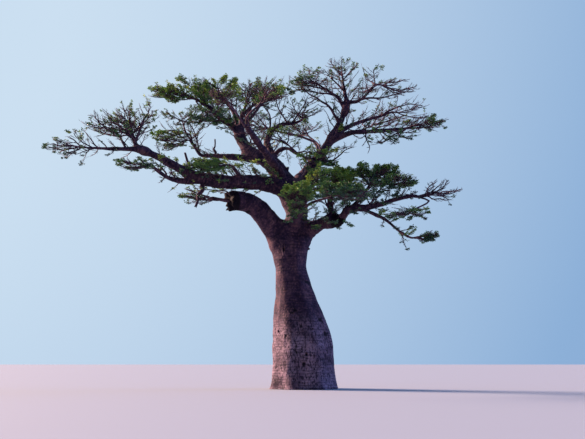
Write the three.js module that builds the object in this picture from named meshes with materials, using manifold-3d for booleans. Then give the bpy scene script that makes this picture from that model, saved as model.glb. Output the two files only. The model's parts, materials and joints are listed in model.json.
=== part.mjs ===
// A mature baobab, in millimetres: a bottle-shaped trunk that forks into boughs, which carry flat pads of
// twigs and leaf sprays. +Z is up, +X to the right of the front view and +Y away from it. The origin is the
// middle of the flat cut under the trunk, at ground level.
import * as THREE from "three";
import { mergeVertices } from "three/addons/utils/BufferGeometryUtils.js";
import Module from "manifold-3d";

const wasm = await Module();
wasm.setup();

// Trunk: a wide belly that draws in to a waist, then swells into the fork.
const BELLY_RADIUS = 1640;
const BELLY_TOP = 1350; // the belly keeps its width up to here
const WAIST_RADIUS = 815;
const WAIST_HEIGHT = 7000;
const FORK_RADIUS = 1010;
const FORK_HEIGHT = 7800;
const TRUNK_TOP = 8300;
const LEAN = -700; // sideways shift of the trunk's middle at the fork
const LEAN_START = 1400;
const FLARE = 110; // how far the roots' collar stands out at the ground
const FLARE_HEIGHT = 420;
const FLUTE_DEPTH = 45;
const FLUTES = 7;
const FLUTE_TWIST = 2600; // height over which the flutes turn by one radian
const FORK_NARROWNESS = 0.25; // share of the fork's swelling that lies across the boughs' own plane
const CROWN_DROP = 0.8; // share of its section that the trunk loses between the fork and its top
const TRUNK_SIDES = 28;
const TRUNK_RINGS = 13;

// Clearance between two solids that touch on the real tree.
const GAP = 0.35;
const JOIN_TOLERANCE = 12; // slivers that joining twigs leaves are merged within this
const CUT_TOLERANCE = 0.05; // and those that a cut leaves, within this
const MERGE_DISTANCE = 0.01; // corners nearer than this count as one
const WELD_DISTANCE = 0.001; // and corners of one plain shape, within this

// Tubes.
const TAPER_POWER = 0.85; // a limb thins a little faster near its root
const RING_SPACING = 1100; // along a limb
const THICK_LIMB = 300; // radius above which a limb has nine sides
const THIN_LIMB = 160; // and up to which it has five
const SPUR_SIDES = 5;
const TWIG_SIDES = 3;

// Limbs: the limb or trunk each grows from, where on it (a share of its length, or a height on the trunk),
// its radius at root and tip, and the points it bends through.
const LIMBS = {
  centre_bough: {
    from: "trunk", at: 7300, root: 640, tip: 520,
    bends: [[-470, 0, 8500], [-370, 0, 9600], [-550, 50, 10780]],
  },
  snapped_bough: {
    from: "trunk", at: 7200, root: 720, tip: 500,
    bends: [
      [-1050, 0, 7850], [-1640, -300, 8650], [-2380, -800, 9440], [-3120, -1200, 9860],
      [-3840, -1600, 9830],
    ],
  },
  right_bough: {
    from: "trunk", at: 7200, root: 620, tip: 190,
    bends: [
      [-380, 0, 7900], [60, -50, 8220], [650, -300, 8640], [1190, -600, 8840],
      [1660, -850, 8830], [1870, -1000, 8750],
    ],
  },
  front_bough: {
    from: "centre_bough", at: 0.35, root: 340, tip: 170,
    bends: [[-340, -2000, 8900], [-100, -3400, 9050]],
  },
  back_bough: {
    from: "centre_bough", at: 0.65, root: 400, tip: 180,
    bends: [[-230, 1900, 11680], [490, 3800, 13080], [1070, 5200, 14180]],
  },
  long_left_bough: {
    from: "centre_bough", at: 0.84, root: 540, tip: 45,
    bends: [
      [-1210, -300, 10850], [-2230, -800, 10990], [-3800, -1600, 10870], [-5290, -2200, 10920],
      [-6490, -2700, 11340], [-7560, -3000, 11880], [-8370, -3400, 12150], [-9880, -3800, 12110],
      [-11000, -4200, 12070],
    ],
  },
  upper_left_bough: {
    from: "centre_bough", at: 0.9, root: 540, tip: 240,
    bends: [
      [-990, 240, 11390], [-1670, 540, 12260], [-2300, 800, 12790], [-3120, 1100, 13340],
      [-3520, 1400, 14010], [-3630, 1700, 14760],
    ],
  },
  upper_right_bough: {
    from: "centre_bough", at: 0.86, root: 440, tip: 80,
    bends: [
      [250, 180, 11400], [770, 460, 12400], [1330, 720, 13410], [1800, 900, 14170],
      [2200, 1000, 15030], [2550, 1140, 15940], [2430, 1400, 17150],
    ],
  },
  front_left_bough: {
    from: "upper_left_bough", at: 0.16, root: 280, tip: 130,
    bends: [[-1620, -1400, 11960], [-2360, -3200, 12600], [-2900, -4600, 13100]],
  },
  middle_limb: {
    from: "upper_left_bough", at: 0.32, root: 300, tip: 75,
    bends: [
      [-1810, 1300, 13210], [-2050, 1600, 13890], [-1770, 1800, 14670], [-1250, 1900, 15060],
      [-500, 2000, 15200], [-150, 2050, 15330],
    ],
  },
  middle_right_limb: {
    from: "middle_limb", at: 0.25, root: 130, tip: 85,
    bends: [[-1280, 800, 13260], [-830, 400, 13240], [-320, -200, 12770]],
  },
  reaching_left_limb: {
    from: "upper_left_bough", at: 0.52, root: 230, tip: 85,
    bends: [
      [-3050, 1000, 12810], [-4100, 1300, 12980], [-5170, 1700, 13140], [-5890, 1900, 13250],
      [-6250, 1900, 13730], [-6480, 1850, 14050],
    ],
  },
  crown_left_limb: {
    from: "upper_left_bough", at: 0.86, root: 190, tip: 95,
    bends: [[-4120, 1500, 14880], [-4770, 1380, 15290], [-5360, 1320, 15910], [-5830, 1320, 16210]],
  },
  left_fan_limb: {
    from: "long_left_bough", at: 0.755, root: 160, tip: 100,
    bends: [[-8630, -3200, 12420], [-8890, -3000, 12960]],
  },
  lower_left_limb: {
    from: "long_left_bough", at: 0.41, root: 240, tip: 75,
    bends: [[-6060, -2700, 10680], [-6690, -3400, 10600], [-7140, -4100, 10720], [-7570, -4600, 11020]],
  },
  shelf_limb: {
    from: "long_left_bough", at: 0.29, root: 130, tip: 80,
    bends: [[-3500, -2050, 11280], [-3650, -2350, 11450]],
  },
  high_left_limb: {
    from: "upper_right_bough", at: 0.8, root: 110, tip: 60,
    bends: [[2060, 1200, 16470], [1620, 1050, 16790], [1250, 880, 16960]],
  },
  right_high_limb: {
    from: "upper_right_bough", at: 0.8, root: 120, tip: 70,
    bends: [[2760, 1300, 16200], [3170, 1300, 16290], [3590, 1400, 16600], [4070, 1400, 17150]],
  },
  right_upper_limb: {
    from: "upper_right_bough", at: 0.58, root: 150, tip: 75,
    bends: [[2750, 1400, 14850], [3680, 2000, 15360], [4610, 2400, 15730], [4950, 2500, 15900]],
  },
  right_shelf_limb: {
    from: "upper_right_bough", at: 0.54, root: 180, tip: 80,
    bends: [[2700, 700, 14230], [3710, 500, 14260], [4940, 400, 14320], [5650, 350, 14390]],
  },
  right_reach_bough: {
    from: "right_bough", at: 0.88, root: 240, tip: 85,
    bends: [
      [2130, -1200, 9090], [2370, -1600, 9370], [3020, -2100, 9360], [3720, -2500, 9390],
      [4730, -2800, 9670], [5580, -3000, 9820], [5950, -3150, 9740],
    ],
  },
  dome_riser: {
    from: "right_bough", at: 0.8, root: 190, tip: 110,
    bends: [[1510, -800, 9220], [1430, -900, 10030], [1390, -1000, 10400]],
  },
  dome_limb: {
    from: "right_reach_bough", at: 0.2, root: 130, tip: 80,
    bends: [[2970, -1500, 9900], [3300, -1450, 10350]],
  },
  right_low_limb: {
    from: "right_reach_bough", at: 0.39, root: 120, tip: 55,
    bends: [[3680, -2800, 8890], [4180, -3300, 8510], [4750, -3900, 7850], [5130, -4300, 7510]],
  },
};

// Dead spurs that stand on a limb and are one piece with it.
const SPURS = [
  { on: "long_left_bough", at: 0.46, root: 150, tip: 60, end: [-5590, -2750, 9290] },
  { on: "long_left_bough", at: 0.52, root: 80, tip: 50, end: [-6210, -2600, 12200] },
  { on: "reaching_left_limb", at: 0.61, root: 75, tip: 45, end: [-5080, 1700, 14150] },
  { on: "upper_left_bough", at: 0.2, root: 170, tip: 60, end: [-820, 200, 12120] },
];

// Masses of foliage: the limb whose tip carries each, its middle, its half sizes, how many twigs fan out of
// its stem, and the share of its side twigs that end as sprays.
const MASSES = {
  far_left_mass: {
    on: "long_left_bough", middle: [-11910, -4400, 12040], half: [1250, 1300, 560], ribs: 5, sprays: 0.5,
  },
  left_fan_mass: {
    on: "left_fan_limb", middle: [-9450, -2900, 13700], half: [2150, 1600, 1080], ribs: 9, sprays: 0.55,
  },
  lower_left_mass: {
    on: "lower_left_limb", middle: [-8300, -5000, 11000], half: [1230, 1100, 390], ribs: 5, sprays: 0.75,
  },
  saddle_mass: {
    on: "reaching_left_limb", middle: [-7250, 1200, 13900], half: [1440, 1500, 620], ribs: 5, sprays: 0.8,
  },
  shelf_mass: {
    on: "shelf_limb", middle: [-4750, -3200, 11370], half: [1700, 900, 400], ribs: 6, sprays: 0.95,
  },
  stump_mass: {
    on: "snapped_bough", middle: [-5500, -2000, 10080], half: [1500, 1100, 440], ribs: 5, sprays: 0.6,
  },
  reaching_left_mass: {
    on: "reaching_left_limb", middle: [-7200, 2300, 15730], half: [1600, 1500, 540], ribs: 5, sprays: 0.5,
  },
  crown_left_mass: {
    on: "crown_left_limb", middle: [-7400, 1100, 16680], half: [1500, 1700, 440], ribs: 6, sprays: 0.95,
  },
  crown_left_low_mass: {
    on: "crown_left_limb", middle: [-5300, -300, 14950], half: [1350, 1600, 480], ribs: 6, sprays: 0.95,
  },
  crown_left_back_mass: {
    on: "upper_left_bough", middle: [-5100, 2800, 17560], half: [1750, 1900, 620], ribs: 7, sprays: 0.95,
  },
  crown_mid_left_mass: {
    on: "upper_left_bough", middle: [-3050, 1400, 16750], half: [1050, 1800, 750], ribs: 6, sprays: 0.8,
  },
  front_left_mass: {
    on: "front_left_bough", middle: [-3770, -6200, 14010], half: [1140, 1500, 490], ribs: 6, sprays: 0.9,
  },
  front_high_mass: {
    on: "front_left_bough", middle: [-1810, -4800, 14580], half: [910, 1500, 660], ribs: 5, sprays: 0.75,
  },
  middle_high_mass: {
    on: "upper_left_bough", middle: [-2220, 3400, 17460], half: [1370, 1800, 950], ribs: 7, sprays: 0.8,
  },
  middle_right_mass: {
    on: "middle_limb", middle: [110, 2200, 16120], half: [1240, 1700, 700], ribs: 5, sprays: 0.6,
  },
  middle_low_mass: {
    on: "middle_right_limb", middle: [-1410, -1400, 13530], half: [1250, 1300, 480], ribs: 5, sprays: 0.8,
  },
  centre_mass: {
    on: "middle_right_limb", middle: [820, -1600, 12080], half: [1080, 1500, 620], ribs: 6, sprays: 0.95,
  },
  high_left_mass: {
    on: "high_left_limb", middle: [460, -600, 16920], half: [1400, 1700, 570], ribs: 6, sprays: 0.75,
  },
  top_mass: {
    on: "upper_right_bough", middle: [2310, 1600, 18350], half: [1090, 1600, 700], ribs: 5, sprays: 0.6,
  },
  high_right_mass: {
    on: "right_high_limb", middle: [4380, 2600, 17940], half: [1380, 1700, 800], ribs: 5, sprays: 0.5,
  },
  right_high_mass: {
    on: "right_high_limb", middle: [5700, 1400, 17090], half: [1170, 1400, 480], ribs: 6, sprays: 0.1,
  },
  right_upper_mass: {
    on: "right_upper_limb", middle: [6370, 3000, 16260], half: [1680, 1500, 620], ribs: 5, sprays: 0.35,
  },
  right_far_mass: {
    on: "right_shelf_limb", middle: [6920, 500, 14760], half: [1500, 1300, 400], ribs: 6, sprays: 0.75,
  },
  right_shelf_mass: {
    on: "right_shelf_limb", middle: [4920, -600, 13690], half: [1660, 1400, 480], ribs: 5, sprays: 0.6,
  },
  front_mass: {
    on: "front_bough", middle: [-350, -4900, 9250], half: [830, 1400, 1050], ribs: 8, sprays: 1,
  },
  front_right_mass: {
    on: "front_bough", middle: [1910, -6300, 9340], half: [1280, 1400, 490], ribs: 6, sprays: 1,
  },
  dome_left_mass: {
    on: "dome_riser", middle: [1650, -1400, 11000], half: [1330, 1800, 780], ribs: 7, sprays: 1,
  },
  dome_mid_mass: {
    on: "dome_limb", middle: [3850, -900, 11420], half: [1500, 1700, 620], ribs: 8, sprays: 1,
  },
  dome_right_mass: {
    on: "dome_limb", middle: [5000, -2600, 10650], half: [1050, 1500, 450], ribs: 5, sprays: 0.95,
  },
  right_tip_mass: {
    on: "right_reach_bough", middle: [7000, -3700, 9990], half: [1110, 1300, 520], ribs: 6, sprays: 0,
  },
  right_low_mass: {
    on: "right_reach_bough", middle: [5050, -5200, 8520], half: [1260, 1000, 350], ribs: 5, sprays: 0.8,
  },
  right_drop_mass: {
    on: "right_low_limb", middle: [5950, -4700, 7470], half: [650, 800, 280], ribs: 4, sprays: 0.9,
  },
  back_right_mass: {
    on: "back_bough", middle: [5400, 7000, 16900], half: [1700, 1900, 800], ribs: 6, sprays: 0.75,
  },
  back_mass: {
    on: "back_bough", middle: [100, 7900, 16500], half: [1700, 2000, 800], ribs: 6, sprays: 0.75,
  },
  back_left_mass: {
    on: "back_bough", middle: [-3400, 6400, 16500], half: [1750, 2000, 800], ribs: 6, sprays: 0.8,
  },
};

// Twigs and sprays.
const HUB_DEPTH = 0.42; // how near its middle, as a share of its half sizes, a mass's stem opens into twigs
const STEM_SINK = 40; // how deep a stem starts inside its limb's tip, before it is cut clear
const STEM_LEAD = 0.3; // share of its length over which a stem runs straight on from the limb
const STEM_TURN = 0.15; // how far its elbow is drawn towards the hub
const STEM_SHARE_ALONE = 0.8; // a stem's radius, as a share of its limb's tip, where one mass ends the limb
const STEM_SHARE_TOGETHER = 0.42; // and where several do
const STEM_SPREAD = 0.5; // how far off the limb's middle line those stand, as a share of its tip's radius
const STEM_RADIUS_MOST = 100;
const THICK_STEM = 90; // radius above which a stem has five sides rather than four
const STEM_RINGS = 3;
const RIB_RADIUS_SHARE = 0.6; // a twig's radius at its root, as a share of its stem's
const RIB_RADIUS_LEAST = 40;
const RIB_RINGS = 2;
const RIB_REACH = 0.95; // how far out the tips of bare twigs stop
const LEAFY_RIB_REACH = 0.55; // and those that end in a spray
const RIB_BACKSWEEP = 1.3; // 1 fans the twigs over half the space, 2 over all of it
const RIB_BOW = 0.1; // bow of a twig, as a share of its length
const TWIG_TIP_RADIUS = 18;
const SIDE_RADIUS_SHARE = 0.5; // a side twig's radius at its root, as a share of its parent's there
const SIDE_PLACES = [
  // where the side twigs and sprays stand along a twig, and on which side
  { share: 0.5, turn: 1 },
  { share: 0.58, turn: -1 },
  { share: 0.9, turn: 1 },
];
const SIDE_ANGLE = 0.85; // radians off the twig
const SIDE_RISE = 0.5; // spread of the side twigs' tilt, upwards and downwards
const SIDE_SAG = 0.35; // share of that spread that lies downwards
const SIDE_LENGTH = 0.42; // of the twig's own length, and less so
const SIDE_LENGTH_START = 1.3; // the nearer this share of the twig it stands
const SPRAY_LENGTH = 1250;
const SPRAY_WIDTH = 760;
const SPRAY_THICKNESS = 70;
const SPRAY_SINK = 70; // how deep a spray's root lies in the tip of its twig
const SPRAY_ROLL = 0.9; // radians from one to the other extreme of its lean
const SPRAY_SIZES = [1, 0.8, 0.62]; // shares of the full size, tried in turn
const SPRAY_SIZE_LEAST = 0.85; // a spray's own share of that, at least
const SPRAY_SIZE_SPREAD = 0.3; // and how much more it can be
const SPRAY_WAIST = 0.45; // where, between its tip and its root, a spray's edge is looked at too
const RIB_STAGGER = 1000; // length of stem along which the twigs leave it
const SPACE_MARGIN = 0.02; // how much nearer its own middle than another's a twig keeps
const TWIG_CLEARANCE = 25; // from limbs and from other masses' stems
const CAPSULES = 8; // along each limb, for keeping clear of it
const GOLDEN_ANGLE = Math.PI * (3 - Math.sqrt(5));
const BARE_SPRAY_SHARE = 0.15; // a mass with no more sprays than this counts as bare twigs

// What each of a twig's draws decides.
const DRAW = { turn: 0, droop: 1, sway: 2, tilt: 3, roll: 4, size: 5, leaf: 6 };
const FIRST_DRAW = 100; // draws are numbered from here, clear of the numbers of a twig's own children

const BARK = new THREE.MeshStandardMaterial({ color: 0x75656f, roughness: 0.9, metalness: 0 });
const FOLIAGE = new THREE.MeshStandardMaterial({ color: 0x4f7a2b, roughness: 0.7, metalness: 0 });
const BARE_TWIGS = new THREE.MeshStandardMaterial({ color: 0x6b5560, roughness: 0.9, metalness: 0 });

const UP = new THREE.Vector3(0, 0, 1);
const vector = (xyz) => new THREE.Vector3(...xyz);

// Numbers that look random and depend only on a key, so that one twig's draws don't disturb another's.
function scramble(x) {
  x ^= x >>> 16;
  x = Math.imul(x, 0x7feb352d);
  x ^= x >>> 15;
  x = Math.imul(x, 0x846ca68b);
  return (x ^ (x >>> 16)) >>> 0;
}
const childKey = (key, i) => scramble((key + Math.imul(i + 1, 0x9e3779b9)) >>> 0);
const chance = (key, draw) => childKey(key, FIRST_DRAW + DRAW[draw]) / 2 ** 32;

const smoothstep = (low, high, value) => THREE.MathUtils.smoothstep(value, low, high);

// The trunk's middle and radius at a height.
const trunkX = (z) => LEAN * smoothstep(LEAN_START, FORK_HEIGHT, z);
function trunkRadius(z, angle) {
  const rise = THREE.MathUtils.clamp((z - BELLY_TOP) / (WAIST_HEIGHT - BELLY_TOP), 0, 1);
  const belly = (BELLY_RADIUS - WAIST_RADIUS) * 0.5 * (1 + Math.cos(Math.PI * rise));
  const towardsBoughs = FORK_NARROWNESS + (1 - FORK_NARROWNESS) * Math.cos(angle) ** 2;
  const fork = (FORK_RADIUS - WAIST_RADIUS) * towardsBoughs * smoothstep(WAIST_HEIGHT, FORK_HEIGHT, z);
  const flare = FLARE * Math.exp(-z / FLARE_HEIGHT) * (1 + 0.5 * Math.cos(FLUTES * angle + 1));
  const flutes = FLUTE_DEPTH * (1 - z / TRUNK_TOP) * Math.cos(FLUTES * angle + 1 + z / FLUTE_TWIST);
  const crown = Math.max(0, (z - FORK_HEIGHT) / (TRUNK_TOP - FORK_HEIGHT));
  return (WAIST_RADIUS + belly + fork + flare + flutes) * Math.sqrt(1 - CROWN_DROP * crown * crown);
}

// A three.js geometry as a solid that can be joined and cut.
function solidOf(geometry) {
  const bare = geometry.clone();
  bare.deleteAttribute("normal");
  bare.deleteAttribute("uv");
  const merged = mergeVertices(bare, WELD_DISTANCE);
  return new wasm.Manifold(
    new wasm.Mesh({
      numProp: 3,
      vertProperties: merged.getAttribute("position").array,
      triVerts: new Uint32Array(merged.index.array),
    }),
  );
}

function meshOf(name, solid, material) {
  const mesh = solid.getMesh();
  const geometry = new THREE.BufferGeometry();
  geometry.setAttribute("position", new THREE.BufferAttribute(mesh.vertProperties, 3));
  geometry.setIndex(new THREE.BufferAttribute(mesh.triVerts, 1));
  geometry.computeVertexNormals();
  const made = new THREE.Mesh(geometry, material);
  made.name = name;
  return made;
}

// Pieces joined into one solid, without the slivers that the joins leave.
const joined = (pieces) => wasm.Manifold.union(pieces).asOriginal().simplify(JOIN_TOLERANCE);

// The largest body of a cut solid: loose scrap falls away and sealed hollows are filled.
function largestBody(solid) {
  const bodies = solid.asOriginal().simplify(CUT_TOLERANCE).decompose();
  return bodies.reduce((best, body) => (body.volume() > best.volume() ? body : best));
}

// Whether a solid is still one closed surface once corners that lie together are merged.
function closesCleanly(solid) {
  const { vertProperties, triVerts } = solid.getMesh();
  const corner = (i) =>
    [0, 1, 2].map((axis) => Math.round(vertProperties[3 * i + axis] / MERGE_DISTANCE)).join();
  const edges = new Map();
  for (let i = 0; i < triVerts.length; i += 3) {
    const corners = [0, 1, 2].map((j) => corner(triVerts[i + j]));
    if (new Set(corners).size < 3) continue;
    for (let j = 0; j < 3; j++) {
      const edge = [corners[j], corners[(j + 1) % 3]].sort().join(" ");
      edges.set(edge, (edges.get(edge) ?? 0) + 1);
    }
  }
  return [...edges.values()].every((uses) => uses === 2);
}

// A tube along a curve: a cylinder's rings are carried along it, and its radius is a function of the share of
// the length. Both ends stand out by the same growth as the sides.
function tubeAlong(curve, radiusAt, sides, rings, growth = 0) {
  const geometry = new THREE.CylinderGeometry(1, 1, 1, sides, rings);
  const frames = curve.computeFrenetFrames(rings);
  const points = curve.getSpacedPoints(rings);
  points[0].addScaledVector(frames.tangents[0], -growth);
  points[rings].addScaledVector(frames.tangents[rings], growth);
  const position = geometry.getAttribute("position");
  for (let i = 0; i < position.count; i++) {
    const ring = Math.round((position.getY(i) + 0.5) * rings);
    const radius = radiusAt(ring / rings) + growth;
    const at = points[ring]
      .clone()
      .addScaledVector(frames.normals[ring], position.getZ(i) * radius)
      .addScaledVector(frames.binormals[ring], position.getX(i) * radius);
    position.setXYZ(i, at.x, at.y, at.z);
  }
  return solidOf(geometry);
}

const taper = (root, tip) => (share) => root + (tip - root) * share ** TAPER_POWER;

function trunkSolid(growth = 0) {
  const geometry = new THREE.CylinderGeometry(1, 1, 1, TRUNK_SIDES, TRUNK_RINGS);
  const position = geometry.getAttribute("position");
  for (let i = 0; i < position.count; i++) {
    const z = TRUNK_TOP * Math.sin(((position.getY(i) + 0.5) * Math.PI) / 2) ** 1.1;
    const [x, y] = [position.getX(i), position.getZ(i)];
    const radius = trunkRadius(z, Math.atan2(-y, x)) + growth;
    position.setXYZ(i, trunkX(z) + x * radius, -y * radius, z + (z > FORK_HEIGHT ? growth : 0));
  }
  return solidOf(geometry);
}

// Limbs, each cut clear of the trunk and of the limbs before it.
const limbs = new Map();
function rootOf({ from, at }) {
  if (from === "trunk") return new THREE.Vector3(trunkX(at), 0, at);
  return limbs.get(from).curve.getPointAt(at);
}
for (const [name, limb] of Object.entries(LIMBS)) {
  const points = [rootOf(limb), ...limb.bends.map(vector)];
  const curve = new THREE.CatmullRomCurve3(points, false, "centripetal");
  limbs.set(name, { ...limb, curve, radiusAt: taper(limb.root, limb.tip) });
}
const spurCurve = ({ on, at, end }) =>
  new THREE.CatmullRomCurve3([limbs.get(on).curve.getPointAt(at), vector(end)]);
function limbSolid(name, growth = 0) {
  const { curve, radiusAt, root } = limbs.get(name);
  const sides = root > THICK_LIMB ? 9 : root > THIN_LIMB ? 6 : 5;
  const rings = Math.ceil(curve.getLength() / RING_SPACING) + 1;
  let solid = tubeAlong(curve, radiusAt, sides, rings, growth);
  for (const spur of SPURS.filter(({ on }) => on === name)) {
    solid = solid.add(tubeAlong(spurCurve(spur), taper(spur.root, spur.tip), SPUR_SIDES, 1, growth));
  }
  return solid;
}
const nearEnough = (a, b) => {
  const [p, q] = [a.boundingBox(), b.boundingBox()];
  return [0, 1, 2].every((k) => p.min[k] < q.max[k] + GAP && q.min[k] < p.max[k] + GAP);
};

const group = new THREE.Group();
group.name = "baobab_tree";
const blockers = [trunkSolid(GAP)];
group.add(meshOf("trunk", trunkSolid(), BARK));
for (const name of limbs.keys()) {
  let solid = limbSolid(name);
  for (const blocker of blockers) if (nearEnough(solid, blocker)) solid = solid.subtract(blocker);
  group.add(meshOf(name, largestBody(solid), BARK));
  blockers.push(limbSolid(name, GAP));
}

// Masses: a stem from the limb's tip to a hub inside the mass's space.
const masses = new Map();
Object.entries(MASSES).forEach(([name, mass], index) => {
  const middle = vector(mass.middle);
  const half = vector(mass.half);
  masses.set(name, { ...mass, name, middle, half, key: scramble(index + 1) });
});
for (const mass of masses.values()) {
  const limb = limbs.get(mass.on);
  const tip = limb.curve.getPointAt(1);
  const heading = limb.curve.getTangentAt(1);
  const sharers = [...masses.values()].filter((other) => other.on === mass.on);
  const alone = sharers.length === 1;
  const shared = new THREE.Vector3();
  for (const other of sharers) shared.addScaledVector(other.middle, 1 / sharers.length);
  const aside = sharers[0].middle
    .clone()
    .sub(shared)
    .projectOnPlane(heading)
    .normalize()
    .applyAxisAngle(heading, (2 * Math.PI * sharers.indexOf(mass)) / sharers.length);
  const start = tip.clone().addScaledVector(aside, alone ? 0 : STEM_SPREAD * limb.tip);
  const out = start.clone().sub(mass.middle).divide(mass.half);
  mass.hub = mass.middle.clone().add(out.clone().setLength(HUB_DEPTH).multiply(mass.half));
  const span = start.distanceTo(mass.hub);
  const elbow = start.clone().addScaledVector(heading, STEM_LEAD * span).lerp(mass.hub, STEM_TURN);
  const root = start.clone().addScaledVector(heading, -STEM_SINK);
  mass.stem = new THREE.CatmullRomCurve3([root, elbow, mass.hub], false, "centripetal");
  const share = alone ? STEM_SHARE_ALONE : STEM_SHARE_TOGETHER;
  mass.stemRadius = Math.min(STEM_RADIUS_MOST, limb.tip * share);
  mass.ribRadius = Math.max(RIB_RADIUS_LEAST, RIB_RADIUS_SHARE * mass.stemRadius);
}

// The shape of each limb and stem as a row of capsules, for keeping twigs clear of them.
const capsules = [];
function addCapsules(owner, curve, radiusAt) {
  const points = curve.getSpacedPoints(CAPSULES);
  for (let i = 0; i < CAPSULES; i++) {
    capsules.push({ owner, line: new THREE.Line3(points[i], points[i + 1]), radius: radiusAt(i / CAPSULES) });
  }
}
for (const [name, limb] of limbs) addCapsules(name, limb.curve, limb.radiusAt);
for (const spur of SPURS) addCapsules(spur.on, spurCurve(spur), () => spur.root);
for (const mass of masses.values()) addCapsules(mass.name, mass.stem, () => mass.stemRadius);

const reach = (mass, point) => point.clone().sub(mass.middle).divide(mass.half).length();
function inOwnSpace(mass, point) {
  const own = reach(mass, point);
  if (own > 1) return false;
  return [...masses.values()].every((other) => other === mass || reach(other, point) > own + SPACE_MARGIN);
}
const nearest = new THREE.Vector3();
function clearOfLimbs(mass, point, radius) {
  return capsules.every(({ owner, line, radius: thickness }) => {
    if (owner === mass.name) return true;
    line.closestPointToPoint(point, true, nearest);
    return nearest.distanceTo(point) > radius + thickness + TWIG_CLEARANCE;
  });
}
const fits = (mass, points, radius) =>
  points.every((point) => inOwnSpace(mass, point) && clearOfLimbs(mass, point, radius));

// The tips that a mass's twigs reach for: an even spiral over the far side of its space.
function ribTips(mass) {
  const axis = mass.middle.clone().sub(mass.hub).divide(mass.half).normalize();
  const across = new THREE.Vector3().crossVectors(axis, UP).normalize();
  const third = new THREE.Vector3().crossVectors(axis, across);
  return Array.from({ length: mass.ribs }, (_, k) => {
    const cosine = 1 - ((k + 0.5) / mass.ribs) * RIB_BACKSWEEP;
    const sine = Math.sqrt(1 - cosine * cosine);
    const turn = k * GOLDEN_ANGLE + 2 * Math.PI * chance(mass.key, "turn");
    const inLeaf = chance(childKey(mass.key, k), "leaf") < mass.sprays;
    return axis
      .clone()
      .multiplyScalar(cosine)
      .addScaledVector(across, sine * Math.cos(turn))
      .addScaledVector(third, sine * Math.sin(turn))
      .multiplyScalar(inLeaf ? LEAFY_RIB_REACH : RIB_REACH)
      .multiply(mass.half)
      .add(mass.middle);
  });
}

// A twig from the stem to its tip, bowed downwards and a little to one side. The later twigs, which sweep
// back, leave the stem first.
function ribCurve(mass, k, tip, key) {
  const early = (RIB_STAGGER / mass.stem.getLength()) * (k / mass.ribs);
  const root = mass.stem.getPointAt(1 - Math.min(0.5, early));
  const span = tip.distanceTo(root);
  const along = tip.clone().sub(root).normalize();
  const side = new THREE.Vector3().crossVectors(along, UP);
  const middle = root
    .clone()
    .lerp(tip, 0.5)
    .addScaledVector(UP, -RIB_BOW * span * chance(key, "droop"))
    .addScaledVector(side, RIB_BOW * span * (2 * chance(key, "sway") - 1));
  return new THREE.CatmullRomCurve3([root, middle, tip], false, "centripetal");
}

// The direction of a side twig: off its parent to one side, level with a slight rise.
function sideHeading(along, turn, key) {
  const side = new THREE.Vector3().crossVectors(along, UP).normalize();
  const tilt = SIDE_RISE * (chance(key, "tilt") - SIDE_SAG);
  return along
    .clone()
    .multiplyScalar(Math.cos(SIDE_ANGLE))
    .addScaledVector(side, turn * Math.sin(SIDE_ANGLE))
    .addScaledVector(UP, tilt)
    .normalize();
}

// A spray of leaves: a flat diamond whose root is sunk in its twig.
function sprayGeometry(root, heading, size, sink, key) {
  const roll = SPRAY_ROLL * (chance(key, "roll") - 0.5);
  const side = new THREE.Vector3().crossVectors(UP, heading).normalize().applyAxisAngle(heading, roll);
  const face = new THREE.Vector3().crossVectors(heading, side);
  const length = SPRAY_LENGTH * size;
  const geometry = new THREE.OctahedronGeometry(1);
  geometry.scale(length / 2, (SPRAY_WIDTH * size) / 2, SPRAY_THICKNESS / 2);
  geometry.translate(length / 2 - sink, 0, 0);
  return geometry.applyMatrix4(new THREE.Matrix4().makeBasis(heading, side, face).setPosition(root));
}
function cornersOf(geometry) {
  const position = mergeVertices(geometry, WELD_DISTANCE).getAttribute("position");
  const corner = (_, i) => new THREE.Vector3().fromBufferAttribute(position, i);
  return Array.from({ length: position.count }, corner);
}
const meets = (solid, others) =>
  others.some((other) => nearEnough(solid, other) && !solid.intersect(other).isEmpty());

// The largest spray that fits at a root without meeting the pieces that it doesn't grow from.
function sprayAt(mass, root, heading, sink, key, others) {
  for (const size of SPRAY_SIZES) {
    const share = size * (SPRAY_SIZE_LEAST + SPRAY_SIZE_SPREAD * chance(key, "size"));
    const geometry = sprayGeometry(root, heading, share, sink, key);
    const corners = cornersOf(geometry);
    const points = corners.flatMap((corner) => [corner, corner.clone().lerp(root, SPRAY_WAIST)]);
    if (!fits(mass, points, SPRAY_THICKNESS / 2)) continue;
    const spray = solidOf(geometry);
    if (!meets(spray, others)) return spray;
  }
  return null;
}
function sideTwigAt(mass, root, heading, length, radius, others) {
  const end = root.clone().addScaledVector(heading, length);
  if (!fits(mass, [end, root.clone().lerp(end, 0.5)], TWIG_TIP_RADIUS)) return null;
  const line = new THREE.CatmullRomCurve3([root, end]);
  const twig = tubeAlong(line, taper(radius, TWIG_TIP_RADIUS), TWIG_SIDES, 1);
  return meets(twig, others) ? null : twig;
}

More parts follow.
